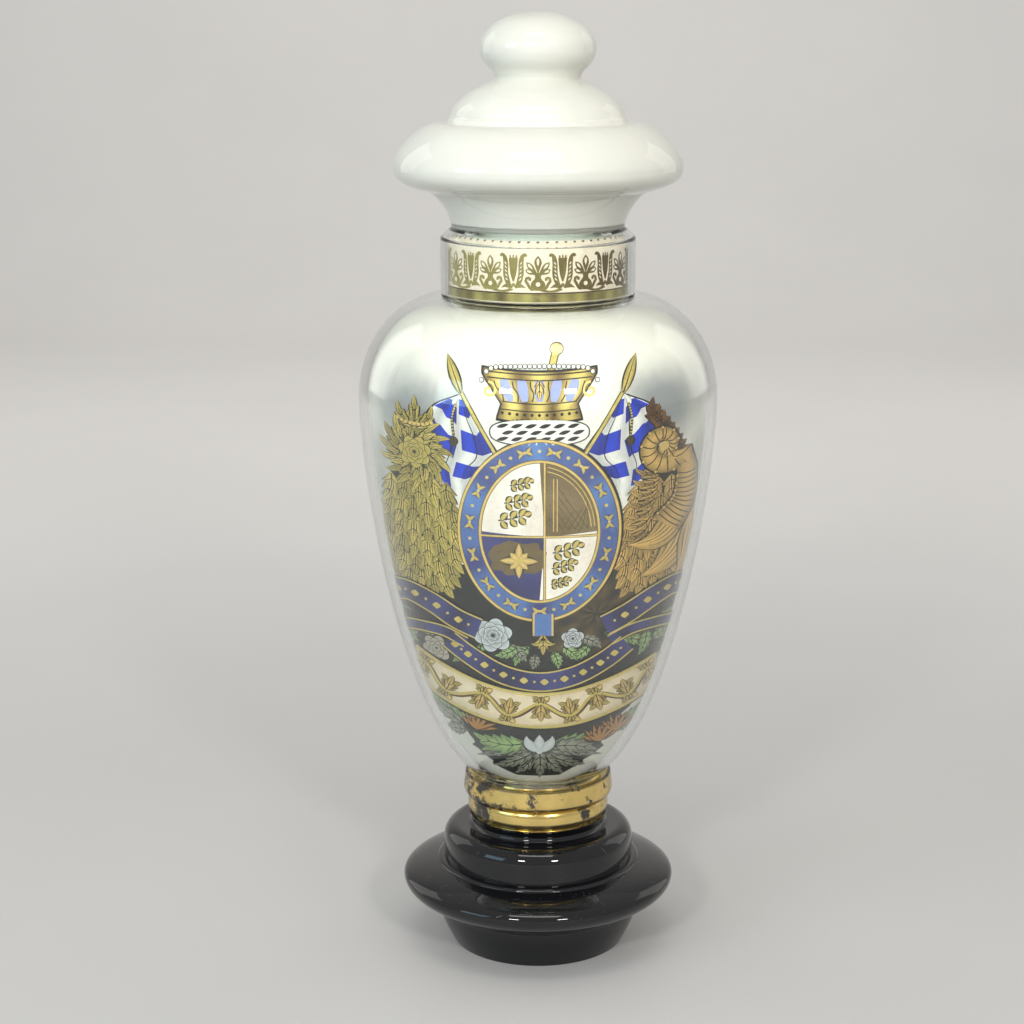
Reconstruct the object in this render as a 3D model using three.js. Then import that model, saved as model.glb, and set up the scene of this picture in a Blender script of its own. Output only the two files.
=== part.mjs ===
// Apothecary show jar: a tall covered jar of clear blown glass, painted and gilded on
// its inner face, standing on a hollow foot of black glass.
//
// Millimetres, +Z up. The origin is the centre of the ring that the foot stands on, and
// every piece is turned about Z. Pieces that touch keep CLEARANCE between them.
import * as THREE from "three";

// ---- Foot, from the table upwards -------------------------------------------------
const FOOT_WALL = 5; // thickness of the black glass
const FOOT_BASE_RADIUS = 66.5; // ring that stands on the table
const FOOT_BASE_RISE = 29.5; // table to the crease under the rim
const FOOT_CREASE_RADIUS = 79;
const FOOT_RIM_RISE = 21.5; // crease to the widest line of the rim
const FOOT_RIM_RADIUS = 104;
const FOOT_RIM_TOP_RISE = 12.5; // widest line to the lip under the dome
const FOOT_LIP_RADIUS = 77.7;
const FOOT_LIP_RISE = 2.5;
const FOOT_DOME_RADIUS = 72.5;
const FOOT_DOME_RISE = 26;
const FOOT_DOME_ROUNDING = 11;
const FOOT_NECK_RISE = 9; // dome to the seat of the collar
const FOOT_NECK_HOLLOW = 2; // how far the neck draws in below the seat
const STEM_BEDDING = 5; // plaster between the jar's peg and the foot's socket
const STEM_BEDDING_DROP = 10; // how far the plaster reaches down into the foot

// ---- Gilded collar between foot and jar -------------------------------------------
const COLLAR_WALL = 2.5;
const COLLAR_RING_RISE = 14; // lower moulding
const COLLAR_RING_OVERHANG = 5.7; // how far each moulding stands out past the jar's seat
const COLLAR_BAND_RISE = 19; // upper moulding, the cup that holds the jar
const COLLAR_BAND_OVERHANG = 9;
const COLLAR_RIM_OVERHANG = 7.8;
const COLLAR_RIM_ROUNDING = 1.5;
const COLLAR_GROOVE_OVERHANG = 3.7; // groove between the two
const COLLAR_LIP_OVERHANG = 1; // inner edge of the cup

// ---- Jar --------------------------------------------------------------------------
const JAR_WALL = 6;
const PEG_RADIUS = 30; // hollow peg under the jar, bedded in the foot
const PEG_DEPTH = 28; // how far the peg reaches below the top of the cup's hollow
const SEAT_RADIUS = 48; // jar's radius at the rim of the collar
const SEAT_DROP = 22; // cup rim down to the foot of the jar's rounded underside
const BELLY_RISE = 291; // cup rim to the widest line
const BELLY_RADIUS = 132.1;
const SHOULDER_RISE = 76; // widest line to the flat under the neck band
const MOUTH_RADIUS = 55.5; // clear bore of the neck

// ---- Neck band --------------------------------------------------------------------
const BAND_WALL = 4.4;
const BAND_SIDE_RISE = 39.5; // straight side
const BAND_SHOULDER_RISE = 7.7; // side to the joint with the cover
const BAND_BEDDING = 2.2; // cement between neck and band

// ---- Cover ------------------------------------------------------------------------
const COVER_WALL = 3.5;
const PLUG_CLEARANCE = 1.5; // all round, so the cover lifts off freely
const PLUG_DEPTH = 28;
const WAIST_OVERHANG = 1.4; // waist past the inner edge of the neck band
const WAIST_RISE = 25.5;
const COVER_CREASE_RADIUS = 80;
const COVER_RIM_UNDER_RISE = 18; // crease to the widest line
const COVER_RIM_RADIUS = 105.1;
const COVER_RIM_TOP_RISE = 30.5;
const COVER_STEP_RADIUS = 73.8;
const DOME_RADIUS = 65;
const DOME_LIP_RISE = 5.5;
const DOME_SHOULDER_RADIUS = 62.4;
const DOME_RISE = 27;
const KNOB_NECK_RADIUS = 31.3;
const KNOB_RADIUS = 41.8;
const KNOB_UNDER_RISE = 20;
const KNOB_TOP_RISE = 25.3;

// ---- Shared -----------------------------------------------------------------------
const PAINT = 1; // painted lining, drawn thicker than the real coat
const PAINT_GAP = 1.4; // room between glass and lining for the painted ornament
const GILDING_GAP = 0.7; // room between glass and gilding in the collar
const CLEARANCE = 0.3; // between pieces that touch
const COVER_SEAT_GAP = 0.6; // neck band to the resting cover
const TURNED_STEPS = 20; // flats round each turned piece
const CURVE_STEP = 2.5; // longest step along an outline before it is thinned
const CURVE_ERROR = 0.6; // furthest that the thinned outline strays

// ---- Levels and radii that follow -------------------------------------------------
const footCrease = FOOT_BASE_RISE;
const footRim = footCrease + FOOT_RIM_RISE;
const footLip = footRim + FOOT_RIM_TOP_RISE;
const footDome = footLip + FOOT_LIP_RISE;
const footDomeTop = footDome + FOOT_DOME_RISE;
const footTop = footDomeTop + FOOT_NECK_RISE;
const collarBottom = footTop + CLEARANCE;
const collarGroove = collarBottom + COLLAR_RING_RISE;
const collarTop = collarGroove + COLLAR_BAND_RISE;
const undersideBottom = collarTop - SEAT_DROP;
const pegBottom = undersideBottom - PEG_DEPTH;
const belly = collarTop + BELLY_RISE;
const shoulder = belly + SHOULDER_RISE;
const bandBottom = shoulder + CLEARANCE;
const bandCorner = bandBottom + BAND_SIDE_RISE;
const bandTop = bandCorner + BAND_SHOULDER_RISE;
const coverSeat = bandTop + COVER_SEAT_GAP;
const coverCrease = coverSeat + WAIST_RISE;
const coverRim = coverCrease + COVER_RIM_UNDER_RISE;
const coverStep = coverRim + COVER_RIM_TOP_RISE;
const domeShoulder = coverStep + DOME_LIP_RISE;
const knobNeck = domeShoulder + DOME_RISE;
const knobWidest = knobNeck + KNOB_UNDER_RISE;
const coverTop = knobWidest + KNOB_TOP_RISE;

const collarSeatRadius = SEAT_RADIUS + COLLAR_GROOVE_OVERHANG;
const socketRadius = PEG_RADIUS + STEM_BEDDING;
const neckRadius = MOUTH_RADIUS + JAR_WALL;
const bandInnerEdge = neckRadius + CLEARANCE;
const beddingRadius = bandInnerEdge + BAND_BEDDING;
const bandRadius = beddingRadius + CLEARANCE + PAINT + PAINT_GAP + BAND_WALL;
const waistRadius = bandInnerEdge + WAIST_OVERHANG;
const plugRadius = MOUTH_RADIUS - PLUG_CLEARANCE;

// ---- Outlines ---------------------------------------------------------------------
// An outline is a list of (radius, height) points up the outside of a turned piece.

const at = (radius, height) => new THREE.Vector2(radius, height);

// Joins points and curves into one list of points no more than CURVE_STEP apart.
function outline(...pieces) {
  const points = [];
  for (const piece of pieces) {
    const from = points.at(-1);
    const curve = piece.isVector2 ? new THREE.LineCurve(from ?? piece, piece) : piece;
    const steps = Math.max(1, Math.ceil(curve.getLength() / CURVE_STEP));
    const added = curve.getPoints(steps);
    points.push(...(from ? added.slice(1) : piece.isVector2 ? [piece] : added));
  }
  return points;
}

// A bend leaves `from` towards `pull` and arrives at `to` from `pull2`. The pulls give the
// curve its fullness, and each is set from the nearer end of the bend.
const bend = (from, pull, pull2, to) => new THREE.CubicBezierCurve(from, pull, pull2, to);

// Quarter of an ellipse. It leaves `from` upright, or level when `upright` is false.
function quarter(from, to, upright = true) {
  const k = 0.5523; // pull of a cubic that follows a quarter circle
  const [dr, dz] = [to.x - from.x, to.y - from.y];
  const leave = upright ? at(from.x, from.y + k * dz) : at(from.x + k * dr, from.y);
  const arrive = upright ? at(to.x - k * dr, to.y) : at(to.x, to.y - k * dz);
  return bend(from, leave, arrive, to);
}

// Distance from a point to a polyline.
function distanceTo(point, line) {
  let best = Infinity;
  for (let i = 1; i < line.length; i++) {
    const along = line[i].clone().sub(line[i - 1]);
    const share = point.clone().sub(line[i - 1]).dot(along) / (along.lengthSq() || 1);
    const foot = line[i - 1].clone().addScaledVector(along, Math.min(1, Math.max(0, share)));
    best = Math.min(best, foot.distanceTo(point));
  }
  return best;
}

// The line that lies `depth` inside an outline (outside it for a negative depth). Each
// point moves along the bisector of its neighbours, and points that a tight bend leaves
// nearer than `depth` are dropped. Open ends stay level or upright, as the outline's
// own ends are cut, and an end on the axis stays on it.
function inset(line, depth) {
  const tangent = (i) =>
    line[Math.min(i + 1, line.length - 1)].clone().sub(line[Math.max(i, 0)]).normalize();
  const moved = line.map((point, i) => {
    const before = tangent(Math.max(i - 1, 0));
    const after = tangent(Math.min(i, line.length - 2));
    const middle = before.clone().add(after).normalize();
    const inward = at(-middle.y, middle.x);
    const hollow = before.cross(after) * depth < 0; // the moved line swings round this corner
    const reach = hollow ? 1 : 1 / Math.max(0.5, middle.dot(after));
    return point.clone().addScaledVector(inward, depth * reach);
  });
  const kept = moved.filter(
    (point, i) =>
      point.x > -1e-6 &&
      distanceTo(point, line) > Math.abs(depth) - 0.02 &&
      (i === 0 || i === moved.length - 1 || point.x > 0.5),
  );
  const ends = [line[0], line.at(-1)];
  [kept[0], kept.at(-1)].forEach((end, i) => {
    const flat = Math.abs(end.x - ends[i].x) > Math.abs(end.y - ends[i].y);
    if (flat) end.y = ends[i].y;
    else end.x = ends[i].x;
  });
  return kept;
}

// Drops the points that a straight line between their neighbours passes within `error`
// of (Douglas-Peucker).
function thin(line, error) {
  if (line.length < 3) return line;
  const chord = [line[0], line.at(-1)];
  const off = line.map((point) => distanceTo(point, chord));
  const furthest = off.indexOf(Math.max(...off));
  if (off[furthest] < error) return chord;
  const before = thin(line.slice(0, furthest + 1), error);
  return [...before.slice(0, -1), ...thin(line.slice(furthest), error)];
}

// Section of a wall of glass whose outside follows an outline.
function wall(line, thickness) {
  const error = Math.min(CURVE_ERROR, thickness / 6);
  return [...thin(line, error), ...thin(inset(line, thickness), error).reverse()];
}

// Section of a coat of paint that lies `gap` inside a wall of glass.
function coat(line, thickness, gap) {
  const error = Math.min(gap, PAINT) * 0.4;
  const outside = inset(line, thickness + gap);
  const inside = inset(line, thickness + gap + PAINT);
  return [...thin(outside, error), ...thin(inside, error).reverse()];
}

// ---- Pieces -----------------------------------------------------------------------

const jar = new THREE.Group();

// Turns a section about Z. A section that doesn't end on the axis is closed on itself.
function turned(name, section, material) {
  const onAxis = section[0].x < 1e-6 && section.at(-1).x < 1e-6;
  const loop = onAxis ? section : [...section, section[0].clone()];
  const geometry = new THREE.LatheGeometry(loop, TURNED_STEPS);
  geometry.rotateX(Math.PI / 2);
  const mesh = new THREE.Mesh(geometry, new THREE.MeshStandardMaterial(material));
  mesh.name = name;
  jar.add(mesh);
}

const BLACK_GLASS = { color: 0x0b0c10, roughness: 0.06, metalness: 0 };
const CLEAR_GLASS = {
  color: 0xe8efec,
  roughness: 0.03,
  metalness: 0,
  transparent: true,
  opacity: 0.3,
};
const WHITE_PAINT = { color: 0xf8f6ee, roughness: 0.5, metalness: 0 };
const CREAM_PAINT = { color: 0xf6f1e4, roughness: 0.5, metalness: 0 };
const FRIEZE_GROUND = { color: 0xf5e6d6, roughness: 0.5, metalness: 0 };
const GOLD_LEAF = { color: 0xd9ab58, roughness: 0.25, metalness: 1 };
const PLASTER = { color: 0xd8d0c0, roughness: 0.9, metalness: 0 };

const footOutline = outline(
  at(FOOT_BASE_RADIUS, 0),
  bend(
    at(FOOT_BASE_RADIUS, 0),
    at(FOOT_BASE_RADIUS + 5, footCrease * 0.3),
    at(FOOT_CREASE_RADIUS - 3, footCrease * 0.65),
    at(FOOT_CREASE_RADIUS, footCrease),
  ),
  bend(
    at(FOOT_CREASE_RADIUS, footCrease),
    at(FOOT_CREASE_RADIUS + 6, footCrease + 7),
    at(FOOT_RIM_RADIUS, footRim - 11),
    at(FOOT_RIM_RADIUS, footRim),
  ),
  bend(
    at(FOOT_RIM_RADIUS, footRim),
    at(FOOT_RIM_RADIUS, footRim + 5),
    at(FOOT_RIM_RADIUS - 8, footLip - 4),
    at(FOOT_LIP_RADIUS, footLip),
  ),
  quarter(at(FOOT_LIP_RADIUS, footLip), at(FOOT_DOME_RADIUS, footDome)),
  at(FOOT_DOME_RADIUS, footDomeTop - FOOT_DOME_ROUNDING),
  quarter(
    at(FOOT_DOME_RADIUS, footDomeTop - FOOT_DOME_ROUNDING),
    at(FOOT_DOME_RADIUS - FOOT_DOME_ROUNDING, footDomeTop),
  ),
  at(collarSeatRadius + 2, footDomeTop),
  bend(
    at(collarSeatRadius + 2, footDomeTop),
    at(collarSeatRadius - FOOT_NECK_HOLLOW, footDomeTop + 1),
    at(collarSeatRadius - FOOT_NECK_HOLLOW, footTop - 4),
    at(collarSeatRadius + 1, footTop),
  ),
  at(socketRadius, footTop),
);
turned("foot", wall(footOutline, FOOT_WALL), BLACK_GLASS);

// Collar: a ring moulding below and the cup above, with a groove between them.
const ringMiddle = (collarBottom + collarGroove) / 2;
const ringRadius = SEAT_RADIUS + COLLAR_RING_OVERHANG;
const bandWidestRadius = SEAT_RADIUS + COLLAR_BAND_OVERHANG;
const bandWidest = collarGroove + COLLAR_BAND_RISE * 0.35;
const cupRimRadius = SEAT_RADIUS + COLLAR_RIM_OVERHANG;
const collarOutline = outline(
  at(collarSeatRadius, collarBottom),
  bend(
    at(collarSeatRadius, collarBottom),
    at(collarSeatRadius + 1, collarBottom + 2),
    at(ringRadius, ringMiddle - 3),
    at(ringRadius, ringMiddle),
  ),
  quarter(at(ringRadius, ringMiddle), at(collarSeatRadius, collarGroove)),
  quarter(at(collarSeatRadius, collarGroove), at(bandWidestRadius, bandWidest), false),
  at(cupRimRadius, collarTop - COLLAR_RIM_ROUNDING),
  quarter(
    at(cupRimRadius, collarTop - COLLAR_RIM_ROUNDING),
    at(cupRimRadius - COLLAR_RIM_ROUNDING, collarTop),
  ),
  at(SEAT_RADIUS + COLLAR_LIP_OVERHANG, collarTop),
);
turned("stem_collar_glass", wall(collarOutline, COLLAR_WALL), CLEAR_GLASS);

turned("stem_collar_gilding", coat(collarOutline, COLLAR_WALL, GILDING_GAP), GOLD_LEAF);

// Jar: peg, rounded underside, body, shoulder and neck in one blown piece.
const underside = [
  at(0, pegBottom),
  at(PEG_RADIUS, pegBottom),
  at(PEG_RADIUS, undersideBottom),
  bend(
    at(PEG_RADIUS, undersideBottom),
    at(PEG_RADIUS, undersideBottom + SEAT_DROP * 0.45),
    at(PEG_RADIUS + 8, collarTop - 7),
    at(SEAT_RADIUS, collarTop),
  ),
];
const body = [
  bend(
    at(SEAT_RADIUS, collarTop),
    at(SEAT_RADIUS + 56, collarTop + 39),
    at(BELLY_RADIUS, belly - 60.5),
    at(BELLY_RADIUS, belly),
  ),
  bend(
    at(BELLY_RADIUS, belly),
    at(BELLY_RADIUS, belly + 31.7),
    at(BELLY_RADIUS - 20.4, shoulder - 0.6),
    at(neckRadius, shoulder),
  ),
];
const jarOutline = outline(...underside, ...body, at(neckRadius, bandTop));
turned("jar_glass", wall(jarOutline, JAR_WALL), CLEAR_GLASS);

const liningOutline = outline(...underside, ...body);
turned("jar_lining", coat(liningOutline, JAR_WALL, PAINT_GAP), CREAM_PAINT);

// Plaster that beds the peg in the foot and the underside in the collar.
const plasterRadius = collarSeatRadius - COLLAR_WALL - GILDING_GAP - PAINT - 2 * CLEARANCE;
const plasterBottom = footTop - STEM_BEDDING_DROP;
const plasterSeat = inset(outline(...underside), -2 * CLEARANCE).filter(
  (point) => point.y > plasterBottom + 1 && point.x < plasterRadius - 1,
);
turned(
  "stem_bedding",
  [
    at(PEG_RADIUS + CLEARANCE, plasterBottom),
    at(socketRadius - CLEARANCE, plasterBottom),
    at(socketRadius - CLEARANCE, collarBottom),
    at(plasterRadius, collarBottom),
    at(plasterRadius, plasterSeat.at(-1).y),
    ...thin(plasterSeat, CLEARANCE).reverse(),
  ],
  PLASTER,
);

// Neck band: a ring of glass over the jar's neck, open below, its lip turned in above.
const bandOutline = outline(
  at(bandRadius, bandBottom),
  at(bandRadius, bandCorner),
  bend(
    at(bandRadius, bandCorner),
    at(bandRadius - 1, bandCorner + BAND_SHOULDER_RISE * 0.25),
    at(waistRadius + 2, bandTop - 1.5),
    at(waistRadius, bandTop),
  ),
  at(bandInnerEdge, bandTop),
);
turned("neck_band_glass", wall(bandOutline, BAND_WALL), CLEAR_GLASS);

turned("neck_band_lining", coat(bandOutline, BAND_WALL, PAINT_GAP), FRIEZE_GROUND);

const bandHollowTop = bandCorner - BAND_WALL - PAINT_GAP - PAINT;
turned(
  "neck_band_bedding",
  [
    at(bandInnerEdge, bandBottom),
    at(beddingRadius, bandBottom),
    at(beddingRadius, bandHollowTop),
    at(bandInnerEdge, bandHollowTop),
  ],
  PLASTER,
);

// Cover: plug, waist, rim, dome and knob in one blown piece.
const coverOutline = outline(
  at(plugRadius, coverSeat - PLUG_DEPTH),
  at(plugRadius, coverSeat),
  at(waistRadius, coverSeat),
  bend(
    at(waistRadius, coverSeat),
    at(waistRadius, coverSeat + 6),
    at(waistRadius + 6.3, coverCrease - 7),
    at(COVER_CREASE_RADIUS, coverCrease),
  ),
  bend(
    at(COVER_CREASE_RADIUS, coverCrease),
    at(COVER_RIM_RADIUS - 0.4, coverCrease + 5.3),
    at(COVER_RIM_RADIUS, coverRim - 6.5),
    at(COVER_RIM_RADIUS, coverRim),
  ),
  bend(
    at(COVER_RIM_RADIUS, coverRim),
    at(COVER_RIM_RADIUS, coverRim + 10.6),
    at(COVER_STEP_RADIUS + 13.3, coverStep - 2),
    at(COVER_STEP_RADIUS, coverStep),
  ),
  at(DOME_RADIUS, coverStep),
  quarter(at(DOME_RADIUS, coverStep), at(DOME_SHOULDER_RADIUS, domeShoulder)),
  bend(
    at(DOME_SHOULDER_RADIUS, domeShoulder),
    at(DOME_SHOULDER_RADIUS - 1.2, domeShoulder + 16.5),
    at(KNOB_NECK_RADIUS - 7.1, knobNeck - 2.1),
    at(KNOB_NECK_RADIUS, knobNeck),
  ),
  bend(
    at(KNOB_NECK_RADIUS, knobNeck),
    at(KNOB_NECK_RADIUS, knobNeck + 5.8),
    at(KNOB_RADIUS, knobWidest - 13.5),
    at(KNOB_RADIUS, knobWidest),
  ),
  quarter(at(KNOB_RADIUS, knobWidest), at(0, coverTop)),
);
turned("cover_glass", wall(coverOutline, COVER_WALL), CLEAR_GLASS);

turned("cover_lining", coat(coverOutline, COVER_WALL, PAINT_GAP), WHITE_PAINT);

export default jar;
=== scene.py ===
"""Apothecary show jar: smooth glass, painted linings, gilding and painted ornament, built around the
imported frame. Outlines and ornament are laid out in millimetres and placed in the scene in metres."""

import math
from types import SimpleNamespace

import bmesh
import bpy
import numpy as np
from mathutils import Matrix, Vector


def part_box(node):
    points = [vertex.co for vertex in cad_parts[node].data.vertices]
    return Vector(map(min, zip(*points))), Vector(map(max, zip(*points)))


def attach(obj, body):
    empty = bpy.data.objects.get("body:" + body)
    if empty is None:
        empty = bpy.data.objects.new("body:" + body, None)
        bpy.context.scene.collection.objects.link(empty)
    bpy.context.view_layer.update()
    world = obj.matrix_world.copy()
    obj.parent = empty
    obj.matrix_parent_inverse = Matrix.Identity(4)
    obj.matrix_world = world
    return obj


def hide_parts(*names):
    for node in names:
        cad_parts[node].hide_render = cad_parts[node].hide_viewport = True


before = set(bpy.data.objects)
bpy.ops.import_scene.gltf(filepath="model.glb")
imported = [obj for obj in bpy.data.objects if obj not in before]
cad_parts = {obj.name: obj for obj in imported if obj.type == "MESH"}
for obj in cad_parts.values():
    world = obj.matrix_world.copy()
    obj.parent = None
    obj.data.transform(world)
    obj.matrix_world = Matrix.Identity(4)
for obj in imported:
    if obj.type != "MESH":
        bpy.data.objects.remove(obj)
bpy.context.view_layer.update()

bl_info = {
    "name": "Apothecary Show Jar",
    "version": (1, 0, 0),
    "blender": (4, 5, 0),
    "location": "View3D > Sidebar > Show Jar",
    "description": "Builds a covered show jar of painted and gilded glass on a black glass foot",
    "category": "Add Mesh",
}

MM = 0.001


def lowest(node):
    """Lowest level of a frame node, in millimetres."""
    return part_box(node)[0].z / MM


def highest(node):
    """Highest level of a frame node, in millimetres."""
    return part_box(node)[1].z / MM


def widest(node):
    """Greatest radius of a frame node, in millimetres."""
    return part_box(node)[1].x / MM


# ---- Sizes and colours that a user would change --------------------------------------------------


def length(name, description, millimetres):
    """A length property, stored in metres."""
    return bpy.props.FloatProperty(
        name=name, description=description, default=millimetres * MM, unit="LENGTH", min=0.0
    )


def colour(name, description, red, green, blue):
    """A colour property, from the 0 to 255 of a colour picker to linear light."""
    value = [((v / 255 + 0.055) / 1.055) ** 2.4 for v in (red, green, blue)]
    return bpy.props.FloatVectorProperty(
        name=name, description=description, default=value, subtype="COLOR", size=3, min=0.0, max=1.0
    )


class JarSizes(bpy.types.PropertyGroup):
    """Walls and gaps of the jar."""

    jar_wall: length("Jar wall", "Thickness of the jar's glass", 6.0)
    cover_wall: length("Cover wall", "Thickness of the cover's glass", 3.5)
    band_wall: length("Neck band wall", "Thickness of the neck band's glass", 4.4)
    collar_wall: length("Collar wall", "Thickness of the stem collar's glass", 2.5)
    foot_wall: length("Foot wall", "Thickness of the black glass", 5.0)
    paint: length("Paint", "Thickness of each painted lining", 1.0)
    paint_gap: length("Paint gap", "Room between glass and lining for the ornament", 1.4)
    gilding_gap: length("Gilding gap", "Room between the collar's glass and its gilding", 0.7)
    turned_steps: bpy.props.IntProperty(
        name="Turned steps", description="Flats round each turned piece", default=144, min=24
    )


class JarColours(bpy.types.PropertyGroup):
    """Paints, enamels, gildings and glass."""

    white: colour("White", "Lining of the cover, and white enamel", 241, 239, 232)
    cream: colour("Cream", "Lining of the jar", 242, 238, 227)
    haze: colour("Airbrushed haze", "Soft shade round the ornament", 106, 112, 120)
    band_cream: colour("Band ground", "Lining of the neck band", 250, 236, 214)
    bright_gold: colour("Bright gold", "Edges and highlights", 236, 205, 128)
    gold: colour("Gold", "Gilded ornament", 222, 200, 112)
    warm_gold: colour("Warm gold", "Gilded ornament on the right", 232, 192, 116)
    old_gold: colour("Old gold", "Shaded gilding", 96, 82, 38)
    brown_gold: colour("Brown gold", "Browned gilding", 92, 62, 30)
    dark_gold: colour("Dark gold", "Deepest gilding", 72, 58, 30)
    frieze_gold: colour("Frieze gold", "Gilding of the neck band", 186, 174, 104)
    frieze_brown: colour("Frieze brown", "Browned gilding of the neck band", 96, 74, 42)
    leaf: colour("Gold leaf", "Leaf in the stem collar", 244, 212, 128)
    bare: colour("Bare size", "What shows where leaf has flaked", 52, 44, 38)
    light_blue: colour("Light blue", "Medallion ring", 92, 130, 190)
    ribbon_blue: colour("Ribbon blue", "Ribbons and fields", 66, 68, 122)
    ribbon_dark: colour("Dark ribbon blue", "Shade of the ribbons", 44, 44, 78)
    vivid_blue: colour("Vivid blue", "Stripes of the cloths", 24, 60, 200)
    deep_blue: colour("Deep blue", "Shade of the stripes", 18, 34, 120)
    lilac: colour("Lilac", "Panels of the mortar", 158, 164, 214)
    olive: colour("Olive gold", "Weathered field", 146, 126, 92)
    olive_dark: colour("Dark olive", "Shade of the weathered field", 110, 92, 62)
    field: colour("Field cream", "Pale fields of the medallion", 248, 240, 230)
    cream_shade: colour("Field shade", "Shade of the pale fields", 228, 214, 200)
    banner: colour("Banner", "Long cream banner", 238, 220, 190)
    banner_shade: colour("Banner shade", "Shade of the banner", 196, 172, 130)
    green: colour("Leaf green", "Leaves", 158, 184, 122)
    dark_green: colour("Dark green", "Shade of the leaves", 62, 86, 58)
    leaf_grey: colour("Leaf grey", "Grey leaves", 158, 158, 140)
    rose_grey: colour("Rose grey", "Pale roses", 206, 210, 212)
    rose_pink: colour("Rose pink", "Pink roses", 186, 172, 156)
    orange: colour("Orange", "Tufts", 184, 130, 62)
    grey: colour("Grey", "Shade of white enamel", 150, 152, 156)
    slate: colour("Slate", "Ground behind the leaves", 58, 60, 62)
    dark: colour("Dark", "Outlines and engraving", 20, 17, 14)
    glass: colour("Clear glass", "Tint of the clear glass", 249, 252, 250)
    black_glass: colour("Black glass", "Body of the foot", 13, 14, 18)
    plaster: colour("Plaster", "Hidden bedding", 206, 198, 182)
    floor: colour("Floor", "Floor and backdrop", 222, 221, 219)


class JarStage(bpy.types.PropertyGroup):
    """Camera and lights."""

    pitch: bpy.props.FloatProperty(
        name="Camera pitch", description="How far the camera looks down", default=math.radians(13.0),
        subtype="ANGLE",
    )
    distance: length("Camera distance", "Camera to the jar's axis", 1610.0)
    aim: length("Aim height", "Level that the camera looks at", 335.8)
    lens: bpy.props.FloatProperty(
        name="Lens", description="Focal length on a 36 mm wide sensor", default=75.6, unit="CAMERA"
    )
    shift: bpy.props.FloatProperty(
        name="Shift", description="Share of the frame that the view is moved", default=-0.0254
    )


# ---- Outlines ------------------------------------------------------------------------------------


def bend(start, pull, pull2, end, count=40):
    """Cubic Bezier: (1-t)^3 a + 3(1-t)^2 t b + 3(1-t) t^2 c + t^3 d for t from 0 to 1."""
    t = np.linspace(0.0, 1.0, count)[:, None]
    a, b, c, d = (np.array(p, float) for p in (start, pull, pull2, end))
    return (1 - t) ** 3 * a + 3 * (1 - t) ** 2 * t * b + 3 * (1 - t) * t**2 * c + t**3 * d


def quarter(start, end, upright=True, count=24):
    """Quarter ellipse: the radius follows a cosine and the height a sine, or the other way round."""
    t = np.linspace(0.0, math.pi / 2, count)
    (r0, z0), (r1, z1) = start, end
    if upright:
        return np.stack([r1 + (r0 - r1) * np.cos(t), z0 + (z1 - z0) * np.sin(t)], 1)
    return np.stack([r0 + (r1 - r0) * np.sin(t), z1 + (z0 - z1) * np.cos(t)], 1)


def outline(*pieces, step=1.5):
    """Joins points and curves into one line of points no more than `step` apart."""
    line = np.concatenate([np.array(piece, float).reshape(-1, 2) for piece in pieces])
    line = line[np.r_[True, np.linalg.norm(np.diff(line, axis=0), axis=1) > 1e-4]]
    gaps = np.linalg.norm(np.diff(line, axis=0), axis=1)
    cuts = np.maximum(1, np.ceil(gaps / step)).astype(int)
    index = np.repeat(np.arange(len(gaps)), cuts)
    first = np.repeat(np.cumsum(cuts) - cuts, cuts)
    share = ((np.arange(cuts.sum()) - first) / cuts[index])[:, None]
    return np.vstack([line[index] * (1 - share) + line[index + 1] * share, line[-1]])


def distance_to(points, line):
    """Distance of each point to the nearest piece of a line."""
    start, along = line[:-1], np.diff(line, axis=0)
    to_start = points[:, None] - start[None]
    share = (to_start * along).sum(2) / np.maximum((along**2).sum(1), 1e-12)
    foot = start[None] + np.clip(share, 0, 1)[..., None] * along[None]
    return np.linalg.norm(points[:, None] - foot, axis=2).min(1)


def inset(line, depth):
    """Each point moves by `depth` along the bisector of its neighbours. Points that a tight bend leaves
    nearer than that are dropped, and open ends stay level or upright as they were cut."""
    tangent = np.diff(line, axis=0)
    tangent /= np.linalg.norm(tangent, axis=1)[:, None]
    before = np.vstack([tangent[:1], tangent])
    after = np.vstack([tangent, tangent[-1:]])
    middle = before + after
    middle /= np.linalg.norm(middle, axis=1)[:, None]
    inward = np.stack([-middle[:, 1], middle[:, 0]], 1)
    turn = before[:, 0] * after[:, 1] - before[:, 1] * after[:, 0]
    reach = np.where(turn * depth < 0, 1.0, 1.0 / np.maximum(0.5, (middle * after).sum(1)))
    moved = line + inward * (depth * reach)[:, None]
    keep = (distance_to(moved, line) > abs(depth) - 0.02) & (moved[:, 0] > -1e-6)
    keep[1:-1] &= moved[1:-1, 0] > 0.5
    moved = moved[keep]
    for own, end in ((0, line[0]), (-1, line[-1])):
        level = abs(moved[own, 0] - end[0]) > abs(moved[own, 1] - end[1])
        moved[own, int(level)] = end[int(level)]
    return moved


def wall(line, thickness):
    """Closed section of a wall whose outside follows a line."""
    return np.vstack([line, inset(line, thickness)[::-1]])


def coat(line, depth, thickness):
    """Closed section of a coat whose outside lies `depth` inside a line."""
    return np.vstack([inset(line, depth), inset(line, depth + thickness)[::-1]])


def bedded_coat(line, wall_thickness, thickness):
    """Closed section of a coat that wets the glass: its outside lies just within the glass's inner face,
    so that its colour reaches the very edge."""
    bite = 0.15
    return coat(line, wall_thickness - bite, thickness + bite)


# Levels and radii that the frame gives
foot_top = highest("foot")
collar_bottom = lowest("stem_collar_glass")
collar_top = highest("stem_collar_glass")
belly_radius = widest("jar_glass")
band_bottom = lowest("neck_band_glass")
band_top = highest("neck_band_glass")
band_radius = widest("neck_band_glass")
cover_top = highest("cover_glass")
cover_bottom = lowest("cover_glass")
cover_radius = widest("cover_glass")
foot_radius = widest("foot")

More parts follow.
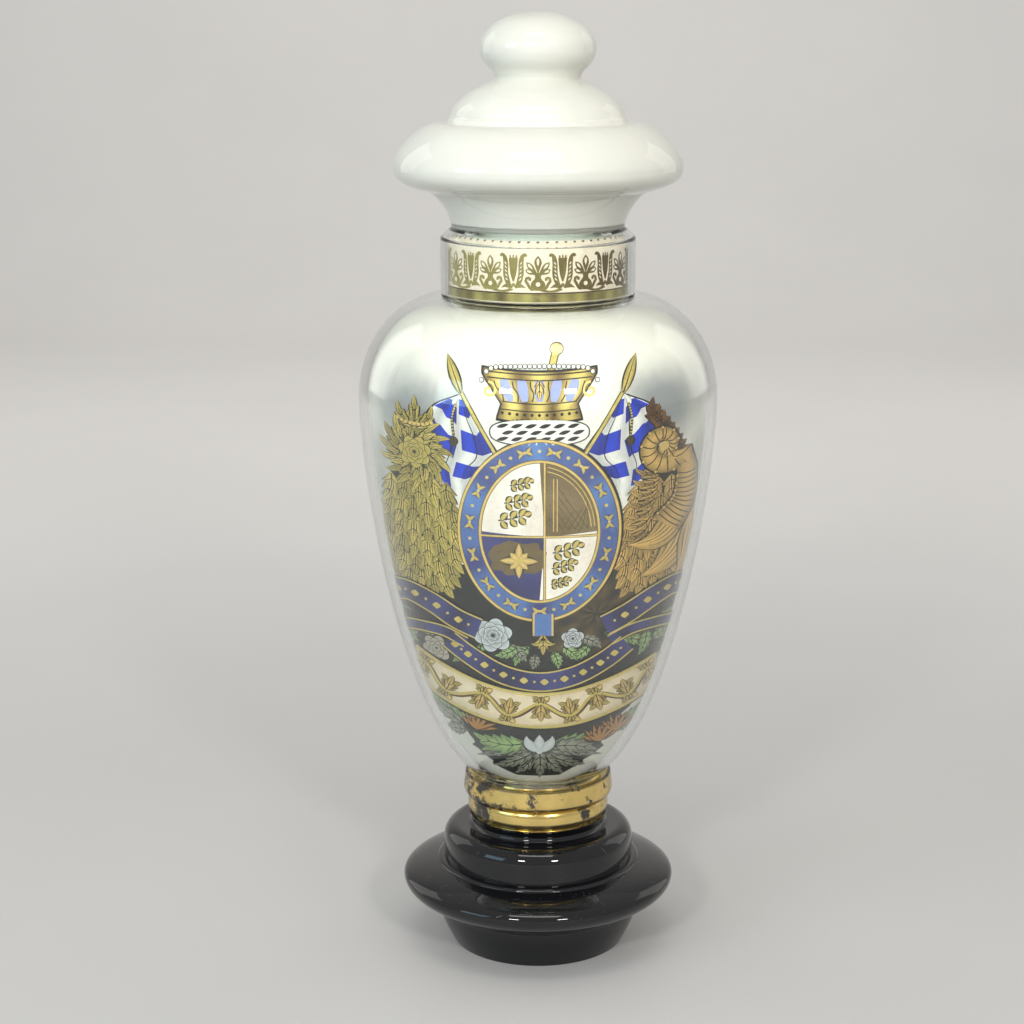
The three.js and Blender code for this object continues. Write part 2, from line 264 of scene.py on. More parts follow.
# Radii and rises of the mouldings, as in the frame
FOOT_BASE, FOOT_CREASE, FOOT_LIP, FOOT_DOME = 66.5, 79.0, 77.7, 72.5
FOOT_CREASE_Z, FOOT_RIM_Z, FOOT_LIP_Z = 29.5, 51.0, 63.5
FOOT_DOME_Z, FOOT_DOME_ROUNDING, FOOT_NECK_RISE = 66.0, 11.0, 9.0
SEAT, PEG, SOCKET = 48.0, 30.0, 35.0
COLLAR_SEAT, COLLAR_RING, COLLAR_BAND, COLLAR_RIM, COLLAR_LIP = 51.7, 53.7, 57.0, 55.8, 49.0
COLLAR_RING_RISE, COLLAR_BAND_RISE, COLLAR_ROUNDING = 14.0, 19.0, 1.5
UNDERSIDE_DROP, PEG_DEPTH = 22.0, 28.0
SHOULDER_RISE = 76.0
MOUTH, NECK, BAND_EDGE, WAIST = 55.5, 61.5, 61.8, 63.2
BAND_SHOULDER = 7.7
PLUG, PLUG_DEPTH = 54.0, 28.0
WAIST_RISE, RIM_UNDER_RISE, RIM_TOP_RISE = 25.5, 18.0, 30.5
COVER_CREASE, COVER_STEP, DOME, DOME_SHOULDER = 80.0, 73.8, 65.0, 62.4
DOME_LIP_RISE, DOME_RISE, KNOB_NECK, KNOB, KNOB_UNDER_RISE = 5.5, 27.0, 31.3, 41.8, 20.0


def foot_outline():
    """Base ring, taper, broad rim, lip, dome and neck, then level in to the socket."""
    dome_top = foot_top - FOOT_NECK_RISE
    return outline(
        bend((FOOT_BASE, 0), (FOOT_BASE + 5, FOOT_CREASE_Z * 0.3),
             (FOOT_CREASE - 3, FOOT_CREASE_Z * 0.65), (FOOT_CREASE, FOOT_CREASE_Z)),
        bend((FOOT_CREASE, FOOT_CREASE_Z), (FOOT_CREASE + 6, FOOT_CREASE_Z + 7),
             (foot_radius, FOOT_RIM_Z - 11), (foot_radius, FOOT_RIM_Z)),
        bend((foot_radius, FOOT_RIM_Z), (foot_radius, FOOT_RIM_Z + 5),
             (foot_radius - 8, FOOT_LIP_Z - 4), (FOOT_LIP, FOOT_LIP_Z)),
        quarter((FOOT_LIP, FOOT_LIP_Z), (FOOT_DOME, FOOT_DOME_Z)),
        quarter((FOOT_DOME, dome_top - FOOT_DOME_ROUNDING), (FOOT_DOME - FOOT_DOME_ROUNDING, dome_top)),
        bend((COLLAR_SEAT + 2, dome_top), (COLLAR_SEAT - 2, dome_top + 1),
             (COLLAR_SEAT - 2, foot_top - 4), (COLLAR_SEAT + 1, foot_top)),
        (SOCKET, foot_top),
    )


def collar_outline():
    """Ring moulding, groove and cup, then level in to the cup's lip."""
    groove = collar_bottom + COLLAR_RING_RISE
    ring_middle = (collar_bottom + groove) / 2
    band_widest = groove + COLLAR_BAND_RISE * 0.35
    return outline(
        bend((COLLAR_SEAT, collar_bottom), (COLLAR_SEAT + 1, collar_bottom + 2),
             (COLLAR_RING, ring_middle - 3), (COLLAR_RING, ring_middle)),
        quarter((COLLAR_RING, ring_middle), (COLLAR_SEAT, groove)),
        quarter((COLLAR_SEAT, groove), (COLLAR_BAND, band_widest), upright=False),
        quarter((COLLAR_RIM, collar_top - COLLAR_ROUNDING), (COLLAR_RIM - COLLAR_ROUNDING, collar_top)),
        (COLLAR_LIP, collar_top),
        step=0.8,
    )


def underside_outline():
    """Hollow peg and rounded underside, up to the rim of the collar."""
    low = collar_top - UNDERSIDE_DROP
    return outline(
        (0, low - PEG_DEPTH),
        (PEG, low - PEG_DEPTH),
        bend((PEG, low), (PEG, low + UNDERSIDE_DROP * 0.45), (PEG + 8, collar_top - 7),
             (SEAT, collar_top)),
        step=2.5,
    )


def body_outline():
    """From the rim of the collar to the belly, and round the shoulder to the neck."""
    shoulder = band_bottom - 0.3
    belly = shoulder - SHOULDER_RISE
    return outline(
        bend((SEAT, collar_top), (SEAT + 56, collar_top + 39), (belly_radius, belly - 60.5),
             (belly_radius, belly), count=90),
        bend((belly_radius, belly), (belly_radius, belly + 31.7),
             (belly_radius - 20.4, shoulder - 0.6), (NECK, shoulder), count=50),
        step=4.0,
    )


def band_outline():
    """Straight side, sloping shoulder and level lip of the neck band."""
    corner = band_top - BAND_SHOULDER
    return outline(
        (band_radius, band_bottom),
        (band_radius, corner - 0.5),
        bend((band_radius, corner), (band_radius - 1, corner + BAND_SHOULDER * 0.25),
             (WAIST + 2, band_top - 1.5), (WAIST, band_top)),
        (BAND_EDGE, band_top),
        step=0.9,
    )


def cover_outline():
    """Plug, waist, broad rim, dome and knob."""
    seat = cover_bottom + PLUG_DEPTH
    crease = seat + WAIST_RISE
    rim = crease + RIM_UNDER_RISE
    step = rim + RIM_TOP_RISE
    shoulder = step + DOME_LIP_RISE
    knob_neck = shoulder + DOME_RISE
    knob = knob_neck + KNOB_UNDER_RISE
    return outline(
        (PLUG, cover_bottom),
        (PLUG, seat),
        bend((WAIST, seat), (WAIST, seat + 6), (WAIST + 6.3, crease - 7), (COVER_CREASE, crease)),
        bend((COVER_CREASE, crease), (cover_radius - 0.4, crease + 5.3), (cover_radius, rim - 6.5),
             (cover_radius, rim)),
        bend((cover_radius, rim), (cover_radius, rim + 10.6), (COVER_STEP + 13.3, step - 2),
             (COVER_STEP, step)),
        quarter((DOME, step), (DOME_SHOULDER, shoulder)),
        bend((DOME_SHOULDER, shoulder), (DOME_SHOULDER - 1.2, shoulder + 16.5),
             (KNOB_NECK - 7.1, knob_neck - 2.1), (KNOB_NECK, knob_neck)),
        bend((KNOB_NECK, knob_neck), (KNOB_NECK, knob_neck + 5.8), (KNOB, knob - 13.5), (KNOB, knob)),
        quarter((KNOB, knob), (0, cover_top), count=30),
        step=2.0,
    )


# ---- Meshes --------------------------------------------------------------------------------------


def finish_mesh(name, verts, faces, materials):
    """Makes an object at the origin."""
    mesh = bpy.data.meshes.new(name)
    mesh.from_pydata(verts, [], faces)
    mesh.validate()
    piece = bpy.data.objects.new(name, mesh)
    bpy.context.scene.collection.objects.link(piece)
    for material in materials:
        mesh.materials.append(material)
    return piece


def weld(piece, smooth_angle, outward=True):
    """Merges doubles, points the faces of a closed piece outwards and shades smooth up to an angle."""
    work = bmesh.new()
    work.from_mesh(piece.data)
    bmesh.ops.remove_doubles(work, verts=work.verts, dist=1e-7)
    if outward:
        bmesh.ops.recalc_face_normals(work, faces=work.faces)
    work.to_mesh(piece.data)
    work.free()
    piece.data.shade_smooth()
    piece.data.set_sharp_from_angle(angle=math.radians(smooth_angle))


def turned(name, section, material, steps, smooth_angle=35.0):
    """Surface of revolution: point i of the section at angle a is (r sin a, -r cos a, z). The section
    closes on itself, and its points on the axis merge into poles."""
    angle = np.linspace(0.0, 2 * math.pi, steps, endpoint=False)
    r, z = section[:, 0][:, None], section[:, 1][:, None]
    verts = np.stack([r * np.sin(angle), -r * np.cos(angle), z + 0 * angle], 2) * MM
    count = len(section)
    on_axis = section[0, 0] < 1e-6 and section[-1, 0] < 1e-6
    i = np.arange(count - 1 if on_axis else count)
    j = np.arange(steps)
    a, b = i[:, None] * steps, (i[:, None] + 1) % count * steps
    k = (j + 1) % steps
    faces = np.stack([a + j, a + k, b + k, b + j], 2).reshape(-1, 4)
    piece = finish_mesh(name, verts.reshape(-1, 3).tolist(), faces.tolist(), [material])
    weld(piece, smooth_angle)
    return piece


def settle(piece, body, slot, *nodes):
    """Puts a piece on its body and lets it stand for frame nodes. The slot is not used."""
    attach(piece, body)
    if nodes:
        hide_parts(*nodes)


# ---- Shader node groups --------------------------------------------------------------------------


def group_with(name, inputs, outputs):
    """A shader node group with named sockets: {name: (type, default)} in, {name: type} out."""
    group = bpy.data.node_groups.new(name, "ShaderNodeTree")
    for label, (kind, default) in inputs.items():
        socket = group.interface.new_socket(label, in_out="INPUT", socket_type="NodeSocket" + kind)
        if default is not None:
            socket.default_value = default
    for label, kind in outputs.items():
        group.interface.new_socket(label, in_out="OUTPUT", socket_type="NodeSocket" + kind)
    return group, group.nodes.new("NodeGroupInput"), group.nodes.new("NodeGroupOutput")


def noise(tree, vector, scale, detail=4.0, roughness=0.55):
    """Noise texture on a vector."""
    node = tree.nodes.new("ShaderNodeTexNoise")
    node.inputs["Detail"].default_value = detail
    node.inputs["Roughness"].default_value = roughness
    tree.links.new(vector, node.inputs["Vector"])
    feed(tree, scale, node.inputs["Scale"])
    return node.outputs["Fac"]


def feed(tree, value, socket):
    """Links a socket, or sets a plain value."""
    if isinstance(value, bpy.types.NodeSocket):
        tree.links.new(value, socket)
    else:
        socket.default_value = value


def maths(tree, operation, a, b=0.0, c=0.0):
    """One Math node."""
    node = tree.nodes.new("ShaderNodeMath")
    node.operation = operation
    for value, socket in zip((a, b, c), node.inputs):
        feed(tree, value, socket)
    return node.outputs[0]


def span(tree, value, low, high, out_low=0.0, out_high=1.0):
    """Map Range from low..high to out_low..out_high, smooth and clamped."""
    node = tree.nodes.new("ShaderNodeMapRange")
    node.interpolation_type = "SMOOTHSTEP"
    for label, number in zip(("Value", "From Min", "From Max", "To Min", "To Max"),
                             (value, low, high, out_low, out_high)):
        feed(tree, number, node.inputs[label])
    return node.outputs["Result"]


def blend(tree, factor, a, b, mode="MIX"):
    """One colour Mix node."""
    node = tree.nodes.new("ShaderNodeMix")
    node.data_type = "RGBA"
    node.blend_type = mode
    colours = [socket for socket in node.inputs if socket.type == "RGBA"]
    feed(tree, factor, node.inputs[0])
    feed(tree, a, colours[0])
    feed(tree, b, colours[1])
    return [socket for socket in node.outputs if socket.type == "RGBA"][0]


def rgba(value):
    """A colour property as four numbers."""
    return (*value[:3], 1.0)


def object_position(tree):
    """Object coordinates."""
    return tree.nodes.new("ShaderNodeTexCoord").outputs["Object"]


def make_groups():
    """Builds the shared shader effects once."""
    make_handling_marks()
    make_hand_painted()
    make_leaf_wear()
    make_old_pigment()
    make_airbrush()


def make_old_pigment():
    """Aged pigment: a drawn colour, mottled by brush and age, and darkened in small worn specks."""
    tree, given, out = group_with(
        "old_pigment",
        {"Pigment": ("Color", None), "Mottle": ("Float", 0.3), "Specks": ("Float", 0.2),
         "Scale": ("Float", 160.0)},
        {"Color": "Color", "Roughness": "Float", "Height": "Float"},
    )
    place = object_position(tree)
    brush = noise(tree, place, given.outputs["Scale"], 5.0, 0.7)
    specks = span(tree, noise(tree, place, 420.0, 3.0, 0.6), 0.6, 0.68)
    specks = maths(tree, "MULTIPLY", specks, given.outputs["Specks"])
    shade = maths(tree, "MULTIPLY_ADD", maths(tree, "SUBTRACT", brush, 0.5), given.outputs["Mottle"], 1.0)
    shade = maths(tree, "SUBTRACT", shade, specks)
    grey = tree.nodes.new("ShaderNodeCombineColor")
    for socket in grey.inputs[:3]:
        tree.links.new(shade, socket)
    aged = blend(tree, 1.0, given.outputs["Pigment"], grey.outputs[0], "MULTIPLY")
    tree.links.new(aged, out.inputs["Color"])
    tree.links.new(span(tree, brush, 0.3, 0.7, 0.3, 0.5), out.inputs["Roughness"])
    tree.links.new(brush, out.inputs["Height"])


def make_airbrush():
    """Soft cloud: 1 at a centre and 0 past its radii, with its edge broken up by noise."""
    tree, given, out = group_with(
        "airbrush",
        {"Center": ("Vector", None), "Radii": ("Vector", (0.05, 0.05, 0.05))},
        {"Mask": "Float"},
    )
    place = object_position(tree)
    away = tree.nodes.new("ShaderNodeVectorMath")
    away.operation = "SUBTRACT"
    tree.links.new(place, away.inputs[0])
    tree.links.new(given.outputs["Center"], away.inputs[1])
    share = tree.nodes.new("ShaderNodeVectorMath")
    share.operation = "DIVIDE"
    tree.links.new(away.outputs[0], share.inputs[0])
    tree.links.new(given.outputs["Radii"], share.inputs[1])
    size = tree.nodes.new("ShaderNodeVectorMath")
    size.operation = "LENGTH"
    tree.links.new(share.outputs[0], size.inputs[0])
    broken = maths(tree, "MULTIPLY_ADD", noise(tree, place, 22.0, 4.0), 0.7, size.outputs["Value"])
    tree.links.new(span(tree, broken, 0.5, 1.4, 1.0, 0.0), out.inputs["Mask"])


def make_handling_marks():
    """Marks of use on glass: smudged roughness, dust specks, hairline scratches and blown ripples."""
    tree, given, out = group_with(
        "handling_marks",
        {"Roughness": ("Float", 0.03), "Smudge": ("Float", 0.06), "Dust": ("Float", 0.5)},
        {"Roughness": "Float", "Dust": "Float", "Height": "Float"},
    )
    place = object_position(tree)
    smudge = span(tree, noise(tree, place, 9.0, 5.0), 0.45, 0.75)
    specks = noise(tree, place, 900.0, 1.0)
    patches = span(tree, noise(tree, place, 14.0, 2.0), 0.4, 0.7)
    dust = maths(tree, "MULTIPLY", span(tree, specks, 0.72, 0.78), patches)
    stretch = tree.nodes.new("ShaderNodeMapping")
    stretch.inputs["Scale"].default_value = (90.0, 2200.0, 70.0)
    stretch.inputs["Rotation"].default_value = (0.3, 0.9, 0.5)
    tree.links.new(place, stretch.inputs["Vector"])
    hair = span(tree, noise(tree, stretch.outputs[0], 1.0, 0.0), 0.84, 0.87)
    dust = maths(tree, "MULTIPLY", maths(tree, "MAXIMUM", dust, hair), given.outputs["Dust"])
    rough = maths(tree, "MULTIPLY_ADD", smudge, given.outputs["Smudge"], given.outputs["Roughness"])
    rough = maths(tree, "MULTIPLY_ADD", dust, 0.5, rough)
    ripple = noise(tree, place, 11.0, 1.0, 0.3)
    height = maths(tree, "MULTIPLY_ADD", dust, 0.08, ripple)
    tree.links.new(rough, out.inputs["Roughness"])
    tree.links.new(dust, out.inputs["Dust"])
    tree.links.new(height, out.inputs["Height"])


def make_hand_painted():
    """Brushed paint: a dark and a light colour mixed by a tone, with brush streaks and mottling."""
    tree, given, out = group_with(
        "hand_painted",
        {"Dark": ("Color", None), "Light": ("Color", None), "Tone": ("Float", 0.5),
         "Mottle": ("Float", 0.2), "Scale": ("Float", 120.0)},
        {"Color": "Color", "Roughness": "Float", "Height": "Float"},
    )
    place = object_position(tree)
    mottle = noise(tree, place, given.outputs["Scale"], 5.0, 0.65)
    broad = noise(tree, place, 18.0, 3.0)
    swing = maths(tree, "SUBTRACT", maths(tree, "ADD", mottle, broad), 1.0)
    tone = maths(tree, "MULTIPLY_ADD", swing, given.outputs["Mottle"], given.outputs["Tone"])
    tone = span(tree, tone, 0.0, 1.0)
    tree.links.new(blend(tree, tone, given.outputs["Dark"], given.outputs["Light"]), out.inputs["Color"])
    tree.links.new(span(tree, mottle, 0.2, 0.8, 0.38, 0.6), out.inputs["Roughness"])
    tree.links.new(mottle, out.inputs["Height"])


def make_leaf_wear():
    """Gold leaf: leaf colour varied by overlaps and lifted in flakes where the size shows."""
    tree, given, out = group_with(
        "leaf_wear",
        {"Leaf": ("Color", None), "Bare": ("Color", None), "Wear": ("Float", 0.3),
         "Roughness": ("Float", 0.22)},
        {"Color": "Color", "Leaf": "Float", "Roughness": "Float", "Height": "Float"},
    )
    place = object_position(tree)
    flakes = noise(tree, place, 70.0, 8.0, 0.72)
    zones = noise(tree, place, 16.0, 2.0)
    loss = maths(tree, "ADD", flakes, maths(tree, "MULTIPLY", zones, 0.8))
    edge = maths(tree, "SUBTRACT", 1.32, maths(tree, "MULTIPLY", given.outputs["Wear"], 0.55))
    leaf = span(tree, loss, edge, maths(tree, "ADD", edge, 0.05), 1.0, 0.0)
    warm = span(tree, noise(tree, place, 60.0, 3.0), 0.3, 0.7, 0.86, 1.0)
    toned = blend(tree, warm, given.outputs["Bare"], given.outputs["Leaf"])
    tree.links.new(blend(tree, leaf, given.outputs["Bare"], toned), out.inputs["Color"])
    tree.links.new(leaf, out.inputs["Leaf"])
    crinkle = noise(tree, place, 180.0, 3.0)
    rough = maths(tree, "MULTIPLY_ADD", crinkle, 0.06, given.outputs["Roughness"])
    rough = maths(tree, "MULTIPLY_ADD", maths(tree, "SUBTRACT", 1.0, leaf), 0.35, rough)
    tree.links.new(rough, out.inputs["Roughness"])
    tree.links.new(maths(tree, "MULTIPLY_ADD", leaf, 1.5, crinkle), out.inputs["Height"])


# ---- Materials -----------------------------------------------------------------------------------


def fresh_material(name):
    """An empty node material with its Principled shader and output."""
    material = bpy.data.materials.new(name)
    material.use_nodes = True
    tree = material.node_tree
    shader = tree.nodes["Principled BSDF"]
    return material, tree, shader


def use_group(tree, name, **values):
    """Places a shader group in a material with its own values."""
    node = tree.nodes.new("ShaderNodeGroup")
    node.node_tree = bpy.data.node_groups[name]
    for label, value in values.items():
        feed(tree, value, node.inputs[label])
    return node


def bump(tree, shader, height, distance, strength=1.0):
    """Bump from a height into a shader's normal."""
    node = tree.nodes.new("ShaderNodeBump")
    node.inputs["Distance"].default_value = distance
    node.inputs["Strength"].default_value = strength
    tree.links.new(height, node.inputs["Height"])
    tree.links.new(node.outputs["Normal"], shader.inputs["Normal"])


def clear_glass(name, tint):
    """Clear blown glass. Shadow rays pass straight through, so that lamps light the paint behind it."""
    material, tree, shader = fresh_material(name)
    marks = use_group(tree, "handling_marks", Roughness=0.0, Smudge=0.0, Dust=0.06)
    shader.inputs["Base Color"].default_value = rgba(tint)
    shader.inputs["IOR"].default_value = 1.48
    shader.inputs["Specular IOR Level"].default_value = 0.3
    shader.inputs["Transmission Weight"].default_value = 1.0
    tree.links.new(marks.outputs["Roughness"], shader.inputs["Roughness"])
    bump(tree, shader, marks.outputs["Height"], 0.0004, 0.2)
    through = tree.nodes.new("ShaderNodeBsdfTransparent")
    through.inputs["Color"].default_value = rgba(tint)
    rays = tree.nodes.new("ShaderNodeLightPath")
    mix = tree.nodes.new("ShaderNodeMixShader")
    tree.links.new(rays.outputs["Is Shadow Ray"], mix.inputs[0])
    tree.links.new(shader.outputs[0], mix.inputs[1])
    tree.links.new(through.outputs[0], mix.inputs[2])
    tree.links.new(mix.outputs[0], tree.nodes["Material Output"].inputs["Surface"])
    return material


def black_glass(tint):
    """Polished black glass with dust, smudges and hairlines."""
    material, tree, shader = fresh_material("black_glass")
    marks = use_group(tree, "handling_marks", Roughness=0.03, Smudge=0.1, Dust=0.8)
    worn = blend(tree, marks.outputs["Dust"], rgba(tint), (0.22, 0.22, 0.215, 1.0))
    tree.links.new(worn, shader.inputs["Base Color"])
    tree.links.new(marks.outputs["Roughness"], shader.inputs["Roughness"])
    shader.inputs["IOR"].default_value = 1.55
    bump(tree, shader, marks.outputs["Height"], 0.0005, 0.3)
    return material


def paint(name, dark, light, tone=0.5, mottle=0.2, scale=120.0, attribute=None, gloss=0.5):
    """Brushed paint. The tone is the piece's own attribute where it has one."""
    material, tree, shader = fresh_material(name)
    if attribute:
        own = tree.nodes.new("ShaderNodeAttribute")
        own.attribute_name = attribute
        tone = own.outputs["Fac"]
    brushed = use_group(tree, "hand_painted", Dark=rgba(dark), Light=rgba(light), Tone=tone,
                        Mottle=mottle, Scale=scale)
    tree.links.new(brushed.outputs["Color"], shader.inputs["Base Color"])
    tree.links.new(brushed.outputs["Roughness"], shader.inputs["Roughness"])
    shader.inputs["Specular IOR Level"].default_value = gloss
    bump(tree, shader, brushed.outputs["Height"], 0.0002, 0.25)
    return material, tree, shader, brushed


def drawn_material(slot):
    """Enamel, or gilding, that takes its colour from the drawing's pigment."""
    name = "drawn_" + slot
    if name in bpy.data.materials:
        return bpy.data.materials[name]
    gilt = slot == "gold_leaf"
    material, tree, shader = fresh_material(name)
    own = tree.nodes.new("ShaderNodeAttribute")
    own.attribute_name = "pigment"
    aged = use_group(tree, "old_pigment", Pigment=own.outputs["Color"], Mottle=0.5 if gilt else 0.35,
                     Specks=0.3 if gilt else 0.12)
    tree.links.new(aged.outputs["Color"], shader.inputs["Base Color"])
    tree.links.new(aged.outputs["Roughness"], shader.inputs["Roughness"])
    shader.inputs["Metallic"].default_value = 0.45 if gilt else 0.0
    bump(tree, shader, aged.outputs["Height"], 0.0002, 0.3)
    return material


def gold_leaf(name, leaf, bare, wear, roughness):
    """Gold leaf that has flaked in places."""
    material, tree, shader = fresh_material(name)
    worn = use_group(tree, "leaf_wear", Leaf=rgba(leaf), Bare=rgba(bare), Wear=wear, Roughness=roughness)
    tree.links.new(worn.outputs["Color"], shader.inputs["Base Color"])
    tree.links.new(worn.outputs["Leaf"], shader.inputs["Metallic"])
    tree.links.new(worn.outputs["Roughness"], shader.inputs["Roughness"])
    bump(tree, shader, worn.outputs["Height"], 0.0002, 0.3)
    return material


# ---- Drawing on the jar --------------------------------------------------------------------------
# A drawing is made of grids of (across, up) points in millimetres, wrapped on a lining.

COAT = 0.1


def wrap_front(line):
    """Wraps a drawing on the front of a turned line, as seen from the front: the point (x, z) goes to
    y = -sqrt(r(z)^2 - x^2), and is lifted along the line's own normal. Past 0.9 of the radius it eases
    in: the excess e becomes 0.07 (1 - exp(-e / 0.07)), so that nothing passes the side."""
    slope = np.gradient(line, axis=0)
    slope /= np.linalg.norm(slope, axis=1)[:, None]

    def place(points, lift):
        x, z = points[:, 0], points[:, 1]
        radius, dr, dz = (np.interp(z, line[:, 1], column) for column in
                          (line[:, 0], slope[:, 0], slope[:, 1]))
        excess = np.maximum(np.abs(x) / radius - 0.9, 0.0)
        x = np.sign(x) * radius * (np.minimum(np.abs(x) / radius, 0.9) + 0.07 * (1 - np.exp(-excess / 0.07)))
        y = -np.sqrt(radius**2 - x**2)
        grow = 1 + lift * dz / radius
        return np.stack([x * grow, y * grow, z - lift * dr], 1) * MM

    return place


def wrap_round(line):
    """Wraps a drawing right round a turned line: x is distance round its first point's circle, and the
    other coordinate is distance up the line."""
    gaps = np.linalg.norm(np.diff(line, axis=0), axis=1)
    travelled = np.r_[0.0, np.cumsum(gaps)]
    slope = np.gradient(line, axis=0)
    slope /= np.linalg.norm(slope, axis=1)[:, None]

    def place(points, lift):
        angle = points[:, 0] / line[0, 0]
        radius, z, dr, dz = (np.interp(points[:, 1], travelled, column) for column in
                             (line[:, 0], line[:, 1], slope[:, 0], slope[:, 1]))
        radius = radius + lift * dz
        return np.stack([radius * np.sin(angle), -radius * np.cos(angle), z - lift * dr], 1) * MM

    return place


class Drawing:
    """Sheets of enamel and leaf, gathered by material slot and wrapped on one lining."""

    def __init__(self, place):
        self.place = place
        self.sheets = {}

    def sheet(self, slot, grid, layer, light, dark=None, tone=1.0):
        """Adds one grid, `layer` coats above the lining, shaded from dark to light by its tone."""
        light = np.array(light[:3])
        dark = light if dark is None else np.array(dark[:3])
        tone = np.clip(np.broadcast_to(tone, grid.shape[:2]), 0, 1)[..., None]
        self.sheets.setdefault(slot, []).append((grid, layer, dark + (light - dark) * tone))

    def line(self, points, width, layer, tint, slot="dark_enamel", taper=False):
        """Adds a stroke along a smooth path. A tapered one thins as the sine of its length."""
        path = spline(points)
        if taper:
            width = width * np.sin(np.linspace(0.15, math.pi - 0.15, len(path)))
        self.sheet(slot, strip(path, width), layer, tint)

    def dot(self, centre, radius, layer, tint, slot="gold_leaf", count=10):
        """Adds a round dot."""
        self.sheet(slot, fill(ellipse(centre, radius, radius, count), 2), layer, tint)

    def build(self, name, body):
        """Makes one object for each slot, each sheet with a little thickness."""
        for slot, sheets in self.sheets.items():
            verts, shades, faces, first = [], [], [], 0
            for grid, layer, shade in sheets:
                rows, columns = grid.shape[:2]
                verts.append(self.place(grid.reshape(-1, 2), COAT * layer))
                shades.append(shade.reshape(-1, 3))
                i = (np.arange(rows - 1)[:, None] * columns + np.arange(columns - 1)).ravel() + first
                faces.append(np.stack([i, i + 1, i + columns + 1, i + columns], 1))
                first += rows * columns
            self.make(name + "_" + slot, body, slot, *(np.vstack(a) for a in (verts, shades, faces)))

    def make(self, name, body, slot, verts, shades, faces):
        """Object of outward quads with a pigment for each vertex, and sharp open edges."""
        a, b, c, d = (verts[faces[:, k]] for k in range(4))
        normal = np.cross(c - a, d - b)
        inward = (normal[:, :2] * (a + c)[:, :2]).sum(1) < 0
        faces[inward] = faces[inward][:, ::-1]
        piece = finish_mesh(name, verts.tolist(), faces.tolist(), [drawn_material(slot)])
        mesh = piece.data
        pigment = mesh.color_attributes.new("pigment", "FLOAT_COLOR", "POINT")
        pigment.data.foreach_set("color", np.c_[shades, np.ones(len(shades))].ravel())
        weld(piece, 60.0, outward=False)
        edge = np.empty(len(mesh.loops), int)
        mesh.loops.foreach_get("edge_index", edge)
        open_edge = np.bincount(edge, minlength=len(mesh.edges)) == 1
        sharp = mesh.attributes.get("sharp_edge") or mesh.attributes.new("sharp_edge", "BOOLEAN", "EDGE")
        sharp.data.foreach_set("value", open_edge)
        thick = piece.modifiers.new("thickness", "SOLIDIFY")
        thick.thickness = 0.6 * COAT * MM
        thick.offset = -1.0
        settle(piece, body, slot)


def spline(points, step=1.6):
    """Catmull-Rom curve through points: each stretch is the cubic whose slope at a point is half the gap
    between that point's neighbours."""
    p = np.array(points, float)
    count = max(6, int(np.linalg.norm(np.diff(p, axis=0), axis=1).sum() / step))
    p = np.vstack([2 * p[0] - p[1], p, 2 * p[-1] - p[-2]])
    t = np.linspace(0, len(p) - 3, count)
    i = np.minimum(t.astype(int), len(p) - 4)
    s = (t - i)[:, None]
    a, b, c, d = p[i], p[i + 1], p[i + 2], p[i + 3]
    return 0.5 * (2 * b + (c - a) * s + (2 * a - 5 * b + 4 * c - d) * s**2 + (3 * b - a - 3 * c + d) * s**3)


def strip(path, width, across=2):
    """Band along a path: at each point, half the width to either side, square to the path."""
    along = np.gradient(path, axis=0)
    along /= np.linalg.norm(along, axis=1)[:, None] + 1e-9
    side = np.stack([-along[:, 1], along[:, 0]], 1)
    reach = np.broadcast_to(width, len(path))[:, None] * np.linspace(-0.5, 0.5, across)
    return path[:, None] + side[:, None] * reach[..., None]


def between(first, second, rows=6):
    """Grid that runs straight from each point of one line to its partner on another."""
    share = np.linspace(0, 1, rows)[:, None, None]
    return first[None] * (1 - share) + second[None] * share


def fill(rim, rings=6, centre=None):
    """Rings between a rim and its middle."""
    middle = rim[:-1].mean(0) if centre is None else np.array(centre, float)
    return between(np.broadcast_to(middle, rim.shape), rim, rings)


def ellipse(centre, across, up, count=48, start=0.0, end=2 * math.pi, power=1.0):
    """Superellipse: signed cosine and sine, each raised to a power, times its radius."""
    t = np.linspace(start, end, count)
    c, s = np.cos(t), np.sin(t)
    return np.array(centre, float) + np.stack(
        [across * np.sign(c) * np.abs(c) ** power, up * np.sign(s) * np.abs(s) ** power], 1)


def scallops(centre, radius, petals, depth, turn=0.0, count=60):
    """Scalloped circle: its radius falls by `depth` between petals, as a rectified cosine."""
    t = np.linspace(0, 2 * math.pi, count)
    r = radius * (1 - depth + depth * np.abs(np.cos(petals * (t - turn) / 2)))
    return np.array(centre, float) + np.stack([r * np.cos(t), r * np.sin(t)], 1)


def leaf_grid(root, tip, bow, width, lobes, rows=22, columns=7, swell=0.72):
    """Lobed leaf. Its spine leaves the straight line from root to tip by 4 bow t (1 - t) of its length.
    Its half width is sin(pi t^swell), cut by a saw of `lobes` teeth that lean towards the tip."""
    root, tip = np.array(root, float), np.array(tip, float)
    axis = tip - root
    aside = np.array([-axis[1], axis[0]])
    t = np.linspace(0, 1, rows)
    spine = root + axis * t[:, None] + aside * (4 * bow * t * (1 - t))[:, None]
    saw = (lobes * t) % 1.0 if lobes else np.ones(rows)
    half = width * np.abs(np.sin(math.pi * t**swell)) ** 1.05 * (0.6 + 0.4 * saw)
    v = np.linspace(-1, 1, columns)
    lean = axis * (0.07 * (0.4 + saw) * np.sin(math.pi * t))[:, None]
    grid = strip(spine, 2 * half, columns) + lean[:, None] * (v**2)[:, None]
    tone = 1.1 - 0.6 * np.abs(v)[None] ** 1.6 - 0.3 * (1 - saw[:, None]) * np.abs(v)[None]
    return grid, spine, tone


